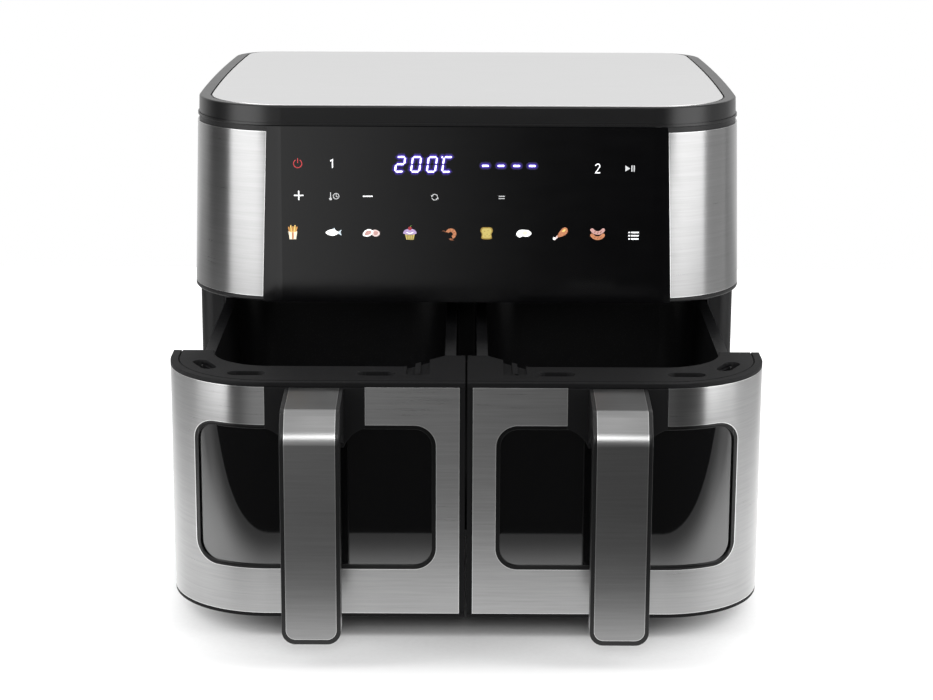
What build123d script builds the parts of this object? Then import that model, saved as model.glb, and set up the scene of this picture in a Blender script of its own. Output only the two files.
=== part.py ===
"""Two-drawer air fryer: housing, two sliding drawers, lift-out trays and two fan units.

Millimetres, +Z up, the front faces -Y. The drawers stand pulled out, as at rest.
Shapes are drawn with the closed drawer fronts on Y = 0 and the right-hand side at +X;
the left-hand pieces are mirror images. The export moves everything so that the origin
lies under the middle of the whole object, on the surface that it stands on.
"""
from build123d import *
import os
from math import atan2, cos, degrees, radians, sin, sqrt, tan

# Housing
body_width = 385.0
body_depth = 296.0
body_height = 318.2
side_bow = 10.0            # how far each side closes in towards the back
front_corner = 66.0
back_corner = 36.0
wall_lean = 1.85           # degrees that the upper walls lean inwards

# Heights, stacked from the table upwards
foot_height = 6.0
base_thick = 5.0
drawer_lift = 2.5          # clearance between the base and a drawer
lip_height = 2.5           # dark lip under the steel drawer front
fascia_height = 149.8
cap_thick = 3.0
head_gap = 14.5            # closed drawer top to the underside of the upper housing
rim_height = 13.7

# Upper housing
shell_wall = 3.5
upper_wall = 4.0
trim_thick = 1.0
trim_low_margin = 3.0      # dark shell edge under the steel side trim
trim_edge_round = 1.2
trim_high_margin = 3.6     # dark shadow gap under the lid
panel_thick = 3.0
panel_side = 52.7          # control panel inside the side of the housing, at its lower edge
panel_frame = 9.0          # shell land behind the edge of the panel
rear_cover_side = 76.5     # rear cover inside the side of the housing
rear_cover_thick = 4.0
rear_land = 8.0
deck_width = 11.0          # ledge behind the control panel, over the mouth of the chambers
tub_round = 9.0            # front edges of the lower tub
seam = 0.4                 # visible joint between neighbouring skins

# Lid
rim_step = 0.8
rim_lower = 2.0
rim_edge = 0.6
rim_round = 1.2
rim_width = 9.0            # beside the lid plate
rim_front = 4.5            # before the lid plate
rim_back = 2.4             # behind the lid plate
plate_thick = 1.6
plate_round = 0.5
plate_gap = 1.2
plate_proud = 0.3          # lid plate above the rim
lid_wall = 3.0

# Feet and base
foot_radius = 9.0
foot_edge = 1.0
foot_inset = 34.0
base_inset = 4.0
base_setback = 24.0        # front edge of the base behind the closed drawer fronts
screw_radius = 3.6
screw_head = 2.2
screw_gap = 0.3
screw_inset = 14.0

# Drawer front
drawer_gap = 1.2           # between the two drawers
drawer_depth = 82.0
drawer_room = 2.0          # behind the drawer front, to the housing
skin_thick = 0.8
skin_edge = 3.6            # dark edge beside the skin at the middle of the object
frame_wall = 3.0
rail_hold = 22.5           # pan flange still in the rails with the drawer pulled out

# Drawer window
window_low = 45.8          # height of the window's lower edge above the table
window_high = 141.2
window_inner = 18.9        # distance from the middle of the object
window_side = 19.5         # distance from the side of the drawer
window_corner = 14.0
gasket_width = 2.7
glass_setback = 1.2
glass_thick = 2.0

# Drawer top
cap_groove_inset = 5.2
cap_groove = 0.7
cap_short = 12.0           # top ends this far before the drawer front does, beside the middle
cap_corner = 6.0
recess_length = 24.0
recess_width = 10.0
recess_line = 23.0         # recesses behind the front plane
recess_side = 52.8         # outer recess inside the side of the drawer
recess_inner_x = 57.0
corner_recess_line = 19.0  # corner recess inside the rounded edge
corner_recess_turn = 63.0
recess_drop = 4.0          # cups of the recesses below the drawer top
recess_wall = 1.2
recess_gap = 0.4           # cups to the flange of the pan
opening_outer_round = 40.0
opening_cut_width = 26.0   # slanting inner corner of the opening
opening_cut_length = 28.0
pocket_count = 2
pocket_pitch = 9.0
pocket_width = 5.4
pocket_depth = 2.0
pocket_run = 20.5          # pockets reach this far before the opening

# Handle
handle_shift = 1.05        # handle off the middle of its half, towards the middle of the object
handle_width = 36.6
handle_reach = 56.0
handle_thick = 14.0
handle_lift = 2.5          # handle end above the drawer's lower edge
handle_drop = 2.3          # fall of the top from the bracket to the knee
knee_depth = 10.0          # sloping knee between the top and the grip
knee_height = 15.0
knee_upper_round = 7.0
knee_lower_round = 14.0
handle_inner_round = 10.0
handle_root = 36.0         # height of the handle where it meets the bracket
handle_foot_round = 8.5
strip_width = 31.4
strip_thick = 1.2
strip_end = 3.2            # handle left below the strip
strip_foot_round = 6.0
bracket_width = 63.1
bracket_drop = 26.6        # notch in the drawer front, below its top edge
bracket_flare = 12.3
bracket_proud = 1.5

# Pan and cooking chamber
divider_thick = 10.0
liner_thick = 1.0
liner_room = 1.0
rear_duct = 20.0
pan_setback = 41.2         # inside front of the pan behind the drawer front
pan_wall = 1.5
pan_round = 26.0
pan_draft = 3.0
flange_width = 5.7
flange_thick = 1.5
slide_gap = 0.8
rail_gap = 0.5
rail_thick = 2.0
rail_width = 4.4
switch_room = 5.0          # closed pan to the back of the chamber
chamber_rise = 51.0        # chamber roof above the underside of the upper housing
pan_window_inset = 30.0
pan_window_margin = 14.0
pan_window_corner = 8.0

# Crisper tray
tray_lift = 8.0            # tray underside above the pan floor
tray_thick = 2.0
tray_gap = 1.5
tray_rim = 12.0
slot_length = 30.0
slot_width = 5.0
slot_pitch_x = 38.0
slot_pitch_y = 13.0
bumper_size = 7.0
bumper_rest = 0.2
tray_ring = 11.0

# Fan unit, drawn from the chamber roof
shaft_radius = 4.0
shaft_edge = 0.8
shaft_end_gap = 1.0
running_gap = 0.05
shaft_hole_gap = 1.5
fan_radius = 40.0
fan_plate = 1.2
fan_blade_height = 12.0
fan_blade_thick = 1.2
fan_blade_count = 8
blade_sweep = 18.0         # degrees that the blades lean back from radial
fan_hub_radius = 9.0
fan_hub_height = 10.0
fan_drop = 22.0            # fan plate below the chamber roof
cool_radius = 38.0
cool_blade_count = 9
cool_lift = 6.0            # cooling fan above the chamber roof
cool_height = 11.0
cool_plate = 1.6
cool_blade_thick = 1.6
motor_radius = 23.0
motor_round = 3.0
motor_boss = 8.0
motor_height = 31.0
motor_bore_depth = 20.0
bracket_gap = 5.0
bridge_thick = 2.0
bridge_width = 34.0
bridge_reach = 52.0
bridge_leg = 2.0

# Heater
tube_radius = 3.2
coil_outer = 64.0
coil_inner = 48.0
coil_drop = 33.0           # tube centre below the chamber roof
coil_sweep = 318.0
sleeve_radius = 4.2
guard_radius = 72.0
guard_ring = 4.0
guard_thick = 2.0
guard_drop = 43.0          # guard underside below the chamber roof
guard_bar = 3.0
guard_ring_count = 4
guard_post = 1.5

# Electronics
board_gap = 3.0
board_thick = 1.6
board_margin = 16.0
display_half = 62.0
display_height = 18.0
display_drop = 26.0        # display centre below the top of the panel
post_radius = 3.0
power_half = 26.0
power_length = 120.0
power_lift = 9.0
relay_size = 15.0
relay_height = 13.0
relay_count = 3

# Drawer switches
switch_width = 14.0
switch_depth = 9.0
switch_height = 20.0
switch_level = 118.0       # height of the plunger above the table
plunger_radius = 2.2
plunger_reach = 4.2
plunger_edge = 0.5
plunger_travel = 2.5
plunger_gap = 0.08
plunger_hole_gap = 0.6

# Power inlet at the back
gland_radius = 11.0
gland_flange = 3.0
gland_round = 1.0
gland_bore = 4.2
gland_collar = 8.0
gland_side = 74.5          # inlet inside the side of the housing
gland_level = 52.0

# Rear vents
louvre_count = 9
louvre_height = 4.0
louvre_pitch = 9.0
louvre_half = 88.0

# Derived levels
base_top = foot_height + base_thick
drawer_low = base_top + drawer_lift
fascia_low = drawer_low + lip_height
fascia_top = fascia_low + fascia_height
cap_top = fascia_top + cap_thick
housing_low = cap_top + head_gap
lid_top = body_height - plate_proud
lid_low = lid_top - rim_height
panel_height = lid_low - housing_low
trim_low = housing_low + trim_low_margin
trim_high = lid_low - trim_high_margin
chamber_roof = housing_low + chamber_rise
flange_low = fascia_top - flange_thick
pan_low = fascia_low
pan_floor = pan_low + pan_wall

# Derived plan
body_half = body_width / 2
panel_half_low = body_half - panel_side
rear_cover_half = body_half - rear_cover_side
window_outer = body_half - window_side
recess_outer_x = body_half - recess_side
handle_x = body_half / 2 - handle_shift
gland_x = body_half - gland_side
side_radius = ((body_depth - front_corner) ** 2 + side_bow ** 2) / (2 * side_bow)
liner_back = body_depth - shell_wall - rear_duct
housing_front = drawer_depth + drawer_room
beyond = 2 * body_width    # longer than any piece, for cutting tools


def side_x(y):
    """Half width of the housing at a distance behind the front plane."""
    return body_half - side_radius + sqrt(side_radius ** 2 - (y - front_corner) ** 2)


def lean_in(height):
    """How far the upper walls have closed in at a height above their lower edge."""
    return height * tan(radians(wall_lean))


wall_inside = trim_thick + upper_wall
wall_at_roof = wall_inside + lean_in(chamber_rise + liner_thick)
back_start = body_depth - back_corner
into_corner = max(0, liner_back - back_start)
back_round = back_corner - wall_at_roof
corner_fall = back_round - sqrt(back_round ** 2 - into_corner ** 2)
liner_half = side_x(min(liner_back, back_start)) - wall_at_roof - corner_fall - liner_room
corner_half = liner_half - body_half + front_corner
corner_inset = max(wall_at_roof, deck_width)
corner_reach = sqrt((front_corner - corner_inset) ** 2 - corner_half ** 2)
chamber_setback = front_corner - corner_reach + liner_room + liner_thick
chamber_inner = divider_thick / 2 + liner_thick
chamber_outer = liner_half - liner_thick
flange_inner = chamber_inner + slide_gap
flange_outer = chamber_outer - slide_gap
pan_inner = flange_inner + flange_width
pan_outer = flange_outer - flange_width
flange_back = liner_back - liner_thick - switch_room
pan_back = flange_back - flange_width
pan_front = pan_setback - pan_wall
fan_x = (pan_inner + pan_outer) / 2
fan_y = (pan_front + pan_back) / 2


def closed_line(*points):
    """Face inside a straight-sided outline."""
    return make_face(Polyline(*points, close=True))


def frame_rect(x0, x1, y0, y1):
    """Rectangle from its edges."""
    return Pos((x0 + x1) / 2, (y0 + y1) / 2) * Rectangle(x1 - x0, y1 - y0)


def rounded_rect(x0, x1, y0, y1, corner):
    """Rounded rectangle from its edges."""
    return Pos((x0 + x1) / 2, (y0 + y1) / 2) * RectangleRounded(x1 - x0, y1 - y0, corner)


def upright(face, z0, z1):
    """Plan outline stood up between two heights."""
    return extrude(Pos(0, 0, z0) * face, amount=z1 - z0)


def along_y(face, y0, y1):
    """Front-view outline (x, height) carried from one depth to another."""
    return extrude(Plane((0, y1, 0), (1, 0, 0), (0, -1, 0)) * face, amount=y1 - y0)


def along_x(face, x0, x1):
    """Side-view outline (depth, height) carried across the width."""
    return extrude(Plane((x0, 0, 0), (0, 1, 0), (1, 0, 0)) * face, amount=x1 - x0)


def block(x0, x1, y0, y1, z0, z1):
    """Square-edged block from its limits."""
    return upright(frame_rect(x0, x1, y0, y1), z0, z1)


def rod(x, y, z0, z1, radius):
    """Upright round bar."""
    return upright(Pos(x, y) * Circle(radius), z0, z1)


def body_plan():
    """Plan outline of the housing, shared by the drawers and the lid."""
    back_half = body_half - side_bow
    flat_half = body_half - front_corner
    diagonal = front_corner * (1 - cos(radians(45)))
    front = Line((-flat_half, 0), (flat_half, 0))
    right_corner = ThreePointArc((flat_half, 0), (body_half - diagonal, diagonal), (body_half, front_corner))
    right_side = TangentArc((body_half, front_corner), (back_half, body_depth), tangent=(0, 1))
    back = Line((back_half, body_depth), (-back_half, body_depth))
    left_side = mirror(right_side, about=Plane.YZ)
    left_corner = mirror(right_corner, about=Plane.YZ)
    face = make_face([front, right_corner, right_side, back, left_side, left_corner])
    return fillet(face.vertices().group_by(Axis.Y)[-1], back_corner)


plan = body_plan()


def inset_plan(inset):
    """Housing outline moved inwards by a distance."""
    return offset(plan, amount=-inset) if inset else plan


def leaning(inset):
    """Upper housing volume, inset from the outer skin, with its leaning walls."""
    return extrude(Pos(0, 0, housing_low) * inset_plan(inset), amount=lid_top - housing_low, taper=wall_lean)


def leaning_band(outer, inner):
    """Layer of the upper housing wall between two depths under the skin."""
    return leaning(outer) - leaning(inner)


def height_range(z0, z1):
    """Tool that keeps what lies between two heights."""
    return block(-beyond, beyond, -beyond, beyond, z0, z1)


def panel_face(margin):
    """Front view of the control panel, smaller by a margin, closing in with the walls."""
    low = panel_half_low - margin
    high = low - lean_in(panel_height)
    z0 = housing_low + margin
    z1 = lid_low - margin
    return closed_line((-low, z0), (low, z0), (high, z1), (-high, z1))


def rear_face(margin):
    """Rear view of the vented cover, smaller by a margin."""
    half = rear_cover_half - margin
    return frame_rect(-half, half, trim_low + margin, trim_high - margin)


def front_tool(face):
    """Front-view outline carried through the front wall."""
    return along_y(face, -beyond, chamber_setback)


def rear_tool(face):
    """Rear-view outline carried through the back wall."""
    return along_y(face, body_depth - rear_duct, beyond)


def tub_plan():
    """Plan of the lower tub, with rounded front edges."""
    face = inset_plan(0) & frame_rect(-beyond, beyond, housing_front, beyond)
    return fillet(face.vertices().group_by(Axis.Y)[0], tub_round)


def housing_shell():
    """Main moulding: leaning upper walls on a straight lower tub with a wide mouth for the drawers."""
    upper = leaning_band(trim_thick, wall_inside) & height_range(trim_low, lid_low)
    edge = leaning(0) & height_range(housing_low, trim_low)
    edge = fillet(edge.faces().sort_by(Axis.Z)[0].edges(), trim_edge_round) - leaning(wall_inside)
    outline = tub_plan()
    lower = upright(outline - offset(outline, amount=-shell_wall), base_top, housing_low)
    mouth = liner_half + seam
    lower -= block(-mouth, mouth, housing_front, housing_front + shell_wall, base_top, housing_low)
    deck = upright(inset_plan(wall_inside / 2) - inset_plan(deck_width), housing_low, trim_low)
    deck &= block(-beyond, beyond, -beyond, housing_front + shell_wall, 0, lid_top)
    shell = upper + edge + lower + deck
    shell -= front_tool(panel_face(0)) - leaning(panel_thick)
    shell -= front_tool(panel_face(panel_frame))
    shell -= rear_tool(rear_face(0)) - leaning(rear_cover_thick)
    shell -= rear_tool(rear_face(rear_land))
    return shell - inlet_hole(seam)


def inlet_hole(gap):
    """Round hole for the power inlet in the back of the lower tub."""
    return along_y(Pos(gland_x, gland_level) * Circle(gland_collar + gap), body_depth - rear_duct, beyond)


def side_trim():
    """Steel skin from the control panel round the front corner to the rear cover."""
    skin = leaning_band(0, trim_thick) & height_range(trim_low + seam, trim_high)
    skin -= front_tool(panel_face(-seam))
    skin -= rear_tool(frame_rect(-rear_cover_half - seam, rear_cover_half + seam, 0, lid_top))
    return skin & block(0, beyond, -beyond, beyond, 0, lid_top)


def control_panel():
    """Gloss front panel, set into the upper housing and leaning with it."""
    return leaning_band(0, panel_thick) & front_tool(panel_face(0))


def panel_carrier():
    """Inner frame that fills the shell opening behind the panel and holds the board posts."""
    layer = leaning_band(panel_thick, wall_inside)
    frame = layer & front_tool(panel_face(panel_frame + seam))
    return frame - front_tool(display_face(seam))


def display_face(margin):
    """Front view of the numeral display."""
    z_mid = lid_low - display_drop
    half_height = display_height / 2 + margin
    return frame_rect(-display_half - margin, display_half + margin, z_mid - half_height, z_mid + half_height)


def display_module():
    """Numeral display on the control board, seen through the panel."""
    return leaning_band(panel_thick, wall_inside + board_gap) & front_tool(display_face(0))


def control_board():
    """Circuit board behind the carrier on four posts."""
    board_front = wall_inside + board_gap
    board = leaning_band(board_front, board_front + board_thick)
    board &= front_tool(panel_face(panel_frame + board_margin))
    layer = leaning_band(wall_inside, board_front)
    post_x = panel_half_low - panel_frame - 2 * board_margin
    z_low = housing_low + panel_frame + board_margin + 2 * post_radius
    z_high = lid_low - panel_frame - board_margin - 2 * post_radius
    for x in (-post_x, post_x):
        for z in (z_low, z_high):
            board += layer & front_tool(Pos(x, z) * Circle(post_radius))
    return board


def rear_cover():
    """Vented cover in the back wall, with horizontal louvres."""
    cover = leaning_band(0, rear_cover_thick) & rear_tool(rear_face(0))
    z_mid = (trim_low + trim_high) / 2
    for i in range(louvre_count):
        z = z_mid + (i - (louvre_count - 1) / 2) * louvre_pitch
        slot = SlotOverall(2 * louvre_half, louvre_height)
        cover -= rear_tool(Pos(0, z) * slot)
    return cover


def plate_line(gap):
    """Plan of the lid plate, which leaves more of the rim at its sides than at front and back."""
    face = inset_plan(lean_in(lid_top - housing_low) + rim_width + gap)
    return Pos(0, rim_front - rim_width) * face + Pos(0, rim_width - rim_back) * face


def lid_rim():
    """Gloss lid frame with a stepped edge and a seat for the lid plate."""
    lower = leaning(0) & height_range(lid_low, lid_low + rim_lower)
    lower = fillet(lower.faces().sort_by(Axis.Z)[0].edges(), rim_edge)
    upper = leaning(rim_step) & height_range(lid_low + rim_lower, lid_top)
    upper = fillet(upper.faces().sort_by(Axis.Z)[-1].edges(), rim_round)
    seat_depth = plate_thick - plate_proud
    rim = lower + upper
    rim -= upright(plate_line(0), lid_top - seat_depth, beyond)
    return rim - (leaning(upper_wall) & height_range(lid_low, lid_top - seat_depth - lid_wall))


def lid_plate():
    """Satin steel plate in the lid."""
    z0 = body_height - plate_thick
    plate = upright(plate_line(plate_gap), z0, z0 + plate_thick)
    return fillet(plate.faces().sort_by(Axis.Z)[-1].edges(), plate_round)


def screw_spots():
    """Places of the base screws, inside the lower tub."""
    spots = []
    for y in (housing_front + screw_inset, liner_back - screw_inset):
        x = side_x(y) - screw_inset
        spots += [(-x, y), (x, y)]
    return spots


def base_plate():
    """Bottom cover with countersunk screw seats."""
    base = upright(inset_plan(base_inset), foot_height, base_top)
    base &= block(-beyond, beyond, base_setback, beyond, 0, base_top)
    for x, y in screw_spots():
        base -= rod(x, y, foot_height, foot_height + screw_head, screw_radius + screw_gap)
    return base


def base_screws():
    """Screw heads in the bottom cover."""
    return Compound([rod(x, y, foot_height + screw_gap, foot_height + screw_head, screw_radius).solid()
                     for x, y in screw_spots()])


def rubber_feet():
    """Four feet under the corners."""
    feet = []
    for y in (base_setback + foot_inset, body_depth - foot_inset):
        x = side_x(y) - foot_inset
        for side in (-x, x):
            foot = rod(side, y, 0, foot_height, foot_radius)
            feet.append(chamfer(foot.faces().sort_by(Axis.Z)[0].edges(), foot_edge).solid())
    return Compound(feet)


def chamber_divider():
    """Wall between the two cooking chambers."""
    half = divider_thick / 2
    return block(-half, half, housing_front, liner_back, base_top, housing_low)


def liner_side(grow, shift):
    """Side view of a cooking chamber: deep behind the drawer front, shallow above it."""
    return closed_line(
        (chamber_setback - grow, housing_low - shift),
        (chamber_setback - grow, chamber_roof + grow),
        (liner_back + grow - liner_thick, chamber_roof + grow),
        (liner_back + grow - liner_thick, base_top + liner_thick - grow),
        (housing_front - shift, base_top + liner_thick - grow),
        (housing_front - shift, housing_low - shift),
    )


def chamber_liner():
    """Sheet-metal cooking chamber with channel rails for the pan flange and holes for shaft and switch."""
    outer = along_x(liner_side(liner_thick, 0), chamber_inner - liner_thick, chamber_outer + liner_thick)
    liner = outer - along_x(liner_side(0, liner_thick), chamber_inner, chamber_outer)
    rail_low = flange_low - rail_gap
    rail_high = fascia_top + rail_gap
    for x0 in (chamber_inner, chamber_outer - rail_width):
        y1 = liner_back - liner_thick
        liner += block(x0, x0 + rail_width, housing_front, y1, rail_low - rail_thick, rail_low)
        liner += block(x0, x0 + rail_width, housing_front, y1, rail_high, rail_high + rail_thick)
    liner -= rod(fan_x, fan_y, chamber_roof, chamber_roof + liner_thick, shaft_radius + shaft_hole_gap)
    return liner - plunger_bar(plunger_hole_gap, liner_back - 2 * liner_thick, liner_back)


def plunger_bar(gap, y0, y1):
    """Round bar on the axis of the drawer switch."""
    return along_y(Pos(fan_x, switch_level) * Circle(plunger_radius + gap), y0, y1)


def drawer_switch():
    """Switch box on the back of the chamber, with the bore of its plunger."""
    half = switch_width / 2
    z0 = switch_level - switch_height / 2
    box = block(fan_x - half, fan_x + half, liner_back, liner_back + switch_depth, z0, z0 + switch_height)
    bore_end = liner_back + plunger_travel + plunger_reach
    return box - plunger_bar(plunger_gap, liner_back, bore_end)


def switch_plunger():
    """Plunger that the closing drawer would push in."""
    y0 = liner_back - liner_thick - plunger_reach
    pin = plunger_bar(0, y0, liner_back + plunger_reach)
    return chamfer(pin.faces().sort_by(Axis.Y)[0].edges(), plunger_edge)


def coil_point(radius, turn):
    """Point of the heater at a radius and an angle in degrees."""
    return (radius * cos(radians(turn)), radius * sin(radians(turn)))


def heater_coil():
    """Heater tube that runs out on one ring, turns and comes back on a smaller one."""
    mid = (coil_outer + coil_inner) / 2
    bend = degrees(atan2((coil_outer - coil_inner) / 2, mid))
    path = ThreePointArc(coil_point(coil_outer, 0), coil_point(coil_outer, coil_sweep / 2),
                         coil_point(coil_outer, coil_sweep))
    path += ThreePointArc(coil_point(coil_outer, coil_sweep), coil_point(mid, coil_sweep + bend),
                          coil_point(coil_inner, coil_sweep))
    path += ThreePointArc(coil_point(coil_inner, coil_sweep), coil_point(coil_inner, coil_sweep / 2),
                          coil_point(coil_inner, 0))
    coil = sweep(Pos(coil_outer, 0, 0) * Plane.XZ * Circle(tube_radius), path)
    for radius in (coil_outer, coil_inner):
        coil += rod(radius, 0, -sleeve_radius, coil_drop, sleeve_radius)
    turn = 90 - coil_sweep / 2 + 180
    return Pos(fan_x, fan_y, chamber_roof - coil_drop) * Rot(0, 0, turn) * coil


def heater_guard():
    """Open guard of rings and cross bars below the heater, hung from the chamber roof."""
    z0 = chamber_roof - guard_drop
    pitch = guard_radius / guard_ring_count
    face = Rectangle(2 * guard_radius - guard_ring, guard_bar)
    face += Rectangle(guard_bar, 2 * guard_radius - guard_ring)
    for i in range(guard_ring_count):
        radius = guard_radius - i * pitch
        face += Circle(radius) - Circle(radius - guard_ring)
    guard = extrude(face, amount=guard_thick)
    post_at = guard_radius - guard_ring / 2
    for turn in range(45, 360, 90):
        post = upright(Circle(guard_post), 0, guard_drop)
        guard += Pos(post_at * cos(radians(turn)), post_at * sin(radians(turn)), 0) * post
    return Pos(fan_x, fan_y, z0) * guard


def blade_wheel(radius, hub_radius, plate, height, blade, count):
    """Flat disc with swept upright blades and a bored hub, standing on its plate."""
    wheel = upright(Circle(radius), 0, plate)
    vane_length = radius - hub_radius
    for i in range(count):
        vane = upright(Pos(hub_radius + vane_length / 2, 0) * Rectangle(vane_length, blade), plate, height)
        sweep = Pos(hub_radius, 0, 0) * Rot(0, 0, blade_sweep) * Pos(-hub_radius, 0, 0) * vane
        wheel += Rot(0, 0, i * 360 / count) * sweep
    wheel &= upright(Circle(radius), 0, height)
    return wheel


def convection_fan():
    """Fan in the chamber that blows over the heater, blades downwards."""
    wheel = blade_wheel(fan_radius, fan_hub_radius, fan_plate, fan_blade_height, fan_blade_thick,
                        fan_blade_count)
    wheel += upright(Circle(fan_hub_radius), 0, fan_hub_height)
    wheel -= upright(Circle(shaft_radius + running_gap), 0, fan_hub_height)
    return Pos(fan_x, fan_y, chamber_roof - fan_drop + fan_hub_height) * Rot(180, 0, 0) * wheel


def cooling_fan():
    """Fan above the chamber roof that cools the motor, blades upwards."""
    wheel = blade_wheel(cool_radius, fan_hub_radius, cool_plate, cool_height, cool_blade_thick,
                        cool_blade_count)
    wheel += upright(Circle(fan_hub_radius), 0, cool_height)
    wheel -= upright(Circle(shaft_radius + running_gap), 0, cool_height)
    return Pos(fan_x, fan_y, chamber_roof + liner_thick + cool_lift) * wheel


motor_low = chamber_roof + liner_thick + cool_lift + cool_height + bracket_gap + bridge_thick


def fan_shaft():
    """Motor shaft that carries both fans."""
    z0 = chamber_roof - fan_drop - running_gap
    z1 = motor_low + motor_bore_depth - shaft_end_gap
    shaft = rod(fan_x, fan_y, z0, z1, shaft_radius)
    return chamfer(shaft.faces().sort_by(Axis.Z)[0].edges(), shaft_edge)


def fan_motor():
    """Motor can with a bearing boss and a blind bore for the shaft."""
    motor = rod(fan_x, fan_y, motor_low, motor_low + motor_height, motor_radius)
    motor = fillet(motor.faces().sort_by(Axis.Z)[-1].edges(), motor_round)
    motor += rod(fan_x, fan_y, motor_low - bridge_thick, motor_low, motor_boss)
    bore_top = motor_low + motor_bore_depth
    return motor - rod(fan_x, fan_y, motor_low - bridge_thick, bore_top, shaft_radius + running_gap)


def motor_bridge():
    """Bent-metal bridge over the cooling fan that carries the motor."""
    roof = chamber_roof + liner_thick
    half = bridge_width / 2
    bridge = block(-half, half, -bridge_reach, bridge_reach, motor_low - bridge_thick, motor_low)
    for y0 in (-bridge_reach, bridge_reach - bridge_leg):
        bridge += block(-half, half, y0, y0 + bridge_leg, roof, motor_low)
    bridge -= rod(0, 0, motor_low - bridge_thick, motor_low, motor_boss)
    return Pos(fan_x, fan_y, 0) * bridge


def power_board():
    """Power board with relays, on posts across the two chamber roofs."""
    roof = chamber_roof + liner_thick
    z0 = roof + power_lift
    y0 = fan_y - power_length / 2
    board = block(-power_half, power_half, y0, y0 + power_length, z0, z0 + board_thick)
    post_x = power_half - 2 * post_radius
    for x in (-post_x, post_x):
        for y in (y0 + 3 * post_radius, y0 + power_length - 3 * post_radius):
            board += rod(x, y, roof, z0, post_radius)
    for i in range(relay_count):
        y = y0 + power_length * (i + 1) / (relay_count + 1)
        relay = block(-relay_size / 2, relay_size / 2, y - relay_size / 2, y + relay_size / 2,
                      z0 + board_thick, z0 + board_thick + relay_height)
        board += relay
    return board


def power_inlet():
    """Bush in the back wall where the mains lead enters."""
    disc = along_y(Pos(gland_x, gland_level) * Circle(gland_radius), body_depth, body_depth + gland_flange)
    disc = fillet(disc.faces().sort_by(Axis.Y)[-1].edges(), gland_round)
    collar = along_y(Pos(gland_x, gland_level) * Circle(gland_collar), body_depth - shell_wall, body_depth)
    bore = along_y(Pos(gland_x, gland_level) * Circle(gland_bore), body_depth - rear_duct, beyond)
    return disc + collar - bore


def drawer_plan(inset, inner_edge, depth=drawer_depth):
    """Plan of the right drawer front, following the housing outline."""
    return inset_plan(inset) & frame_rect(inner_edge, beyond, -front_corner, depth)


def window_face(margin):
    """Front view of the drawer window, smaller by a margin."""
    return rounded_rect(window_inner + margin, window_outer - margin, window_low + margin,
                        window_high - margin, window_corner - margin)


def window_tool(margin):
    """Window outline carried through the drawer front."""
    return along_y(window_face(margin), -front_corner, pan_front - frame_wall)


def notch_face():
    """Front view of the notch in the drawer skin that takes the handle bracket."""
    half = bracket_width / 2
    return frame_rect(handle_x - half, handle_x + half, fascia_top - bracket_drop, fascia_top)


inner_edge = drawer_gap / 2
skin_inner = inner_edge + skin_edge
opening_inner = pan_inner + pan_wall


def cap_face():
    """Plan of the drawer top, shorter beside the middle of the object."""
    face = drawer_plan(0, inner_edge)
    face -= frame_rect(0, opening_inner, drawer_depth - cap_short, beyond)
    corner = face.vertices().sort_by_distance((inner_edge, drawer_depth - cap_short, 0))[0]
    return fillet(corner, cap_corner)


def opening_face():
    """Plan of the opening in the drawer top, with a wide round outer and a slanting inner corner."""
    face = frame_rect(opening_inner, pan_outer - pan_wall, pan_setback, drawer_depth + front_corner)
    corner = face.vertices().sort_by_distance((pan_outer - pan_wall, pan_setback, 0))[0]
    face = fillet(corner, opening_outer_round)
    return face - closed_line((opening_inner, pan_setback), (opening_inner + opening_cut_width, pan_setback),
                              (opening_inner, pan_setback + opening_cut_length))


def recess_face(margin):
    """Plan of the three recesses in the drawer top, wider by a margin."""
    slot = SlotOverall(recess_length + 2 * margin, recess_width + 2 * margin)
    face = Pos(recess_outer_x, recess_line) * slot
    face += Pos(recess_inner_x, recess_line) * slot
    turn = radians(corner_recess_turn)
    corner_x = body_half - front_corner + (front_corner - corner_recess_line) * sin(turn)
    corner_y = front_corner - (front_corner - corner_recess_line) * cos(turn)
    return face + Pos(corner_x, corner_y) * Rot(0, 0, corner_recess_turn) * slot


def pocket_face():
    """Plan of the open-ended pockets in the slanting corner of the opening."""
    x_mid = opening_inner + opening_cut_width - pocket_count * pocket_pitch / 2
    half = pocket_width / 2
    pockets = []
    for i in range(pocket_count):
        x = x_mid + (i - (pocket_count - 1) / 2) * pocket_pitch
        y = pan_setback - pocket_run + half
        pockets.append(frame_rect(x - half, x + half, y, pan_setback + opening_cut_length))
        pockets.append(Pos(x, y) * Circle(half))
    return Sketch() + pockets


def drawer_frame():
    """Moulded drawer front: curved wall, top with the pan opening, bottom lip and inner cheek."""
    wall_depth = skin_thick + frame_wall
    frame = upright(drawer_plan(0, inner_edge), drawer_low, fascia_low)
    frame += upright(drawer_plan(skin_thick, inner_edge), fascia_low, fascia_top)
    frame += upright(cap_face(), fascia_top, cap_top)
    hollow = drawer_plan(wall_depth, inner_edge + frame_wall, drawer_depth + drawer_room)
    frame -= upright(hollow, fascia_low, fascia_top)
    frame -= upright(opening_face(), fascia_top, cap_top)
    cup_low = fascia_top - recess_drop
    cups = upright(recess_face(recess_wall), cup_low, fascia_top)
    cups -= upright(pan_plan(pan_wall + flange_width + recess_gap), flange_low - recess_gap, fascia_top)
    frame += cups
    frame -= upright(recess_face(0), cup_low + recess_wall, cap_top)
    frame -= upright(pocket_face(), cap_top - pocket_depth, cap_top)
    groove = inset_plan(cap_groove_inset) - inset_plan(cap_groove_inset + cap_groove)
    frame -= upright(groove, cap_top - cap_groove, cap_top)
    return frame - window_tool(0)


def fascia():
    """Steel skin of the drawer front, with the window opening and the handle notch."""
    skin = upright(drawer_plan(0, skin_inner) - inset_plan(skin_thick), fascia_low, fascia_top)
    skin -= window_tool(0)
    return skin - along_y(notch_face(), -front_corner, frame_wall + skin_thick)


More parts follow.
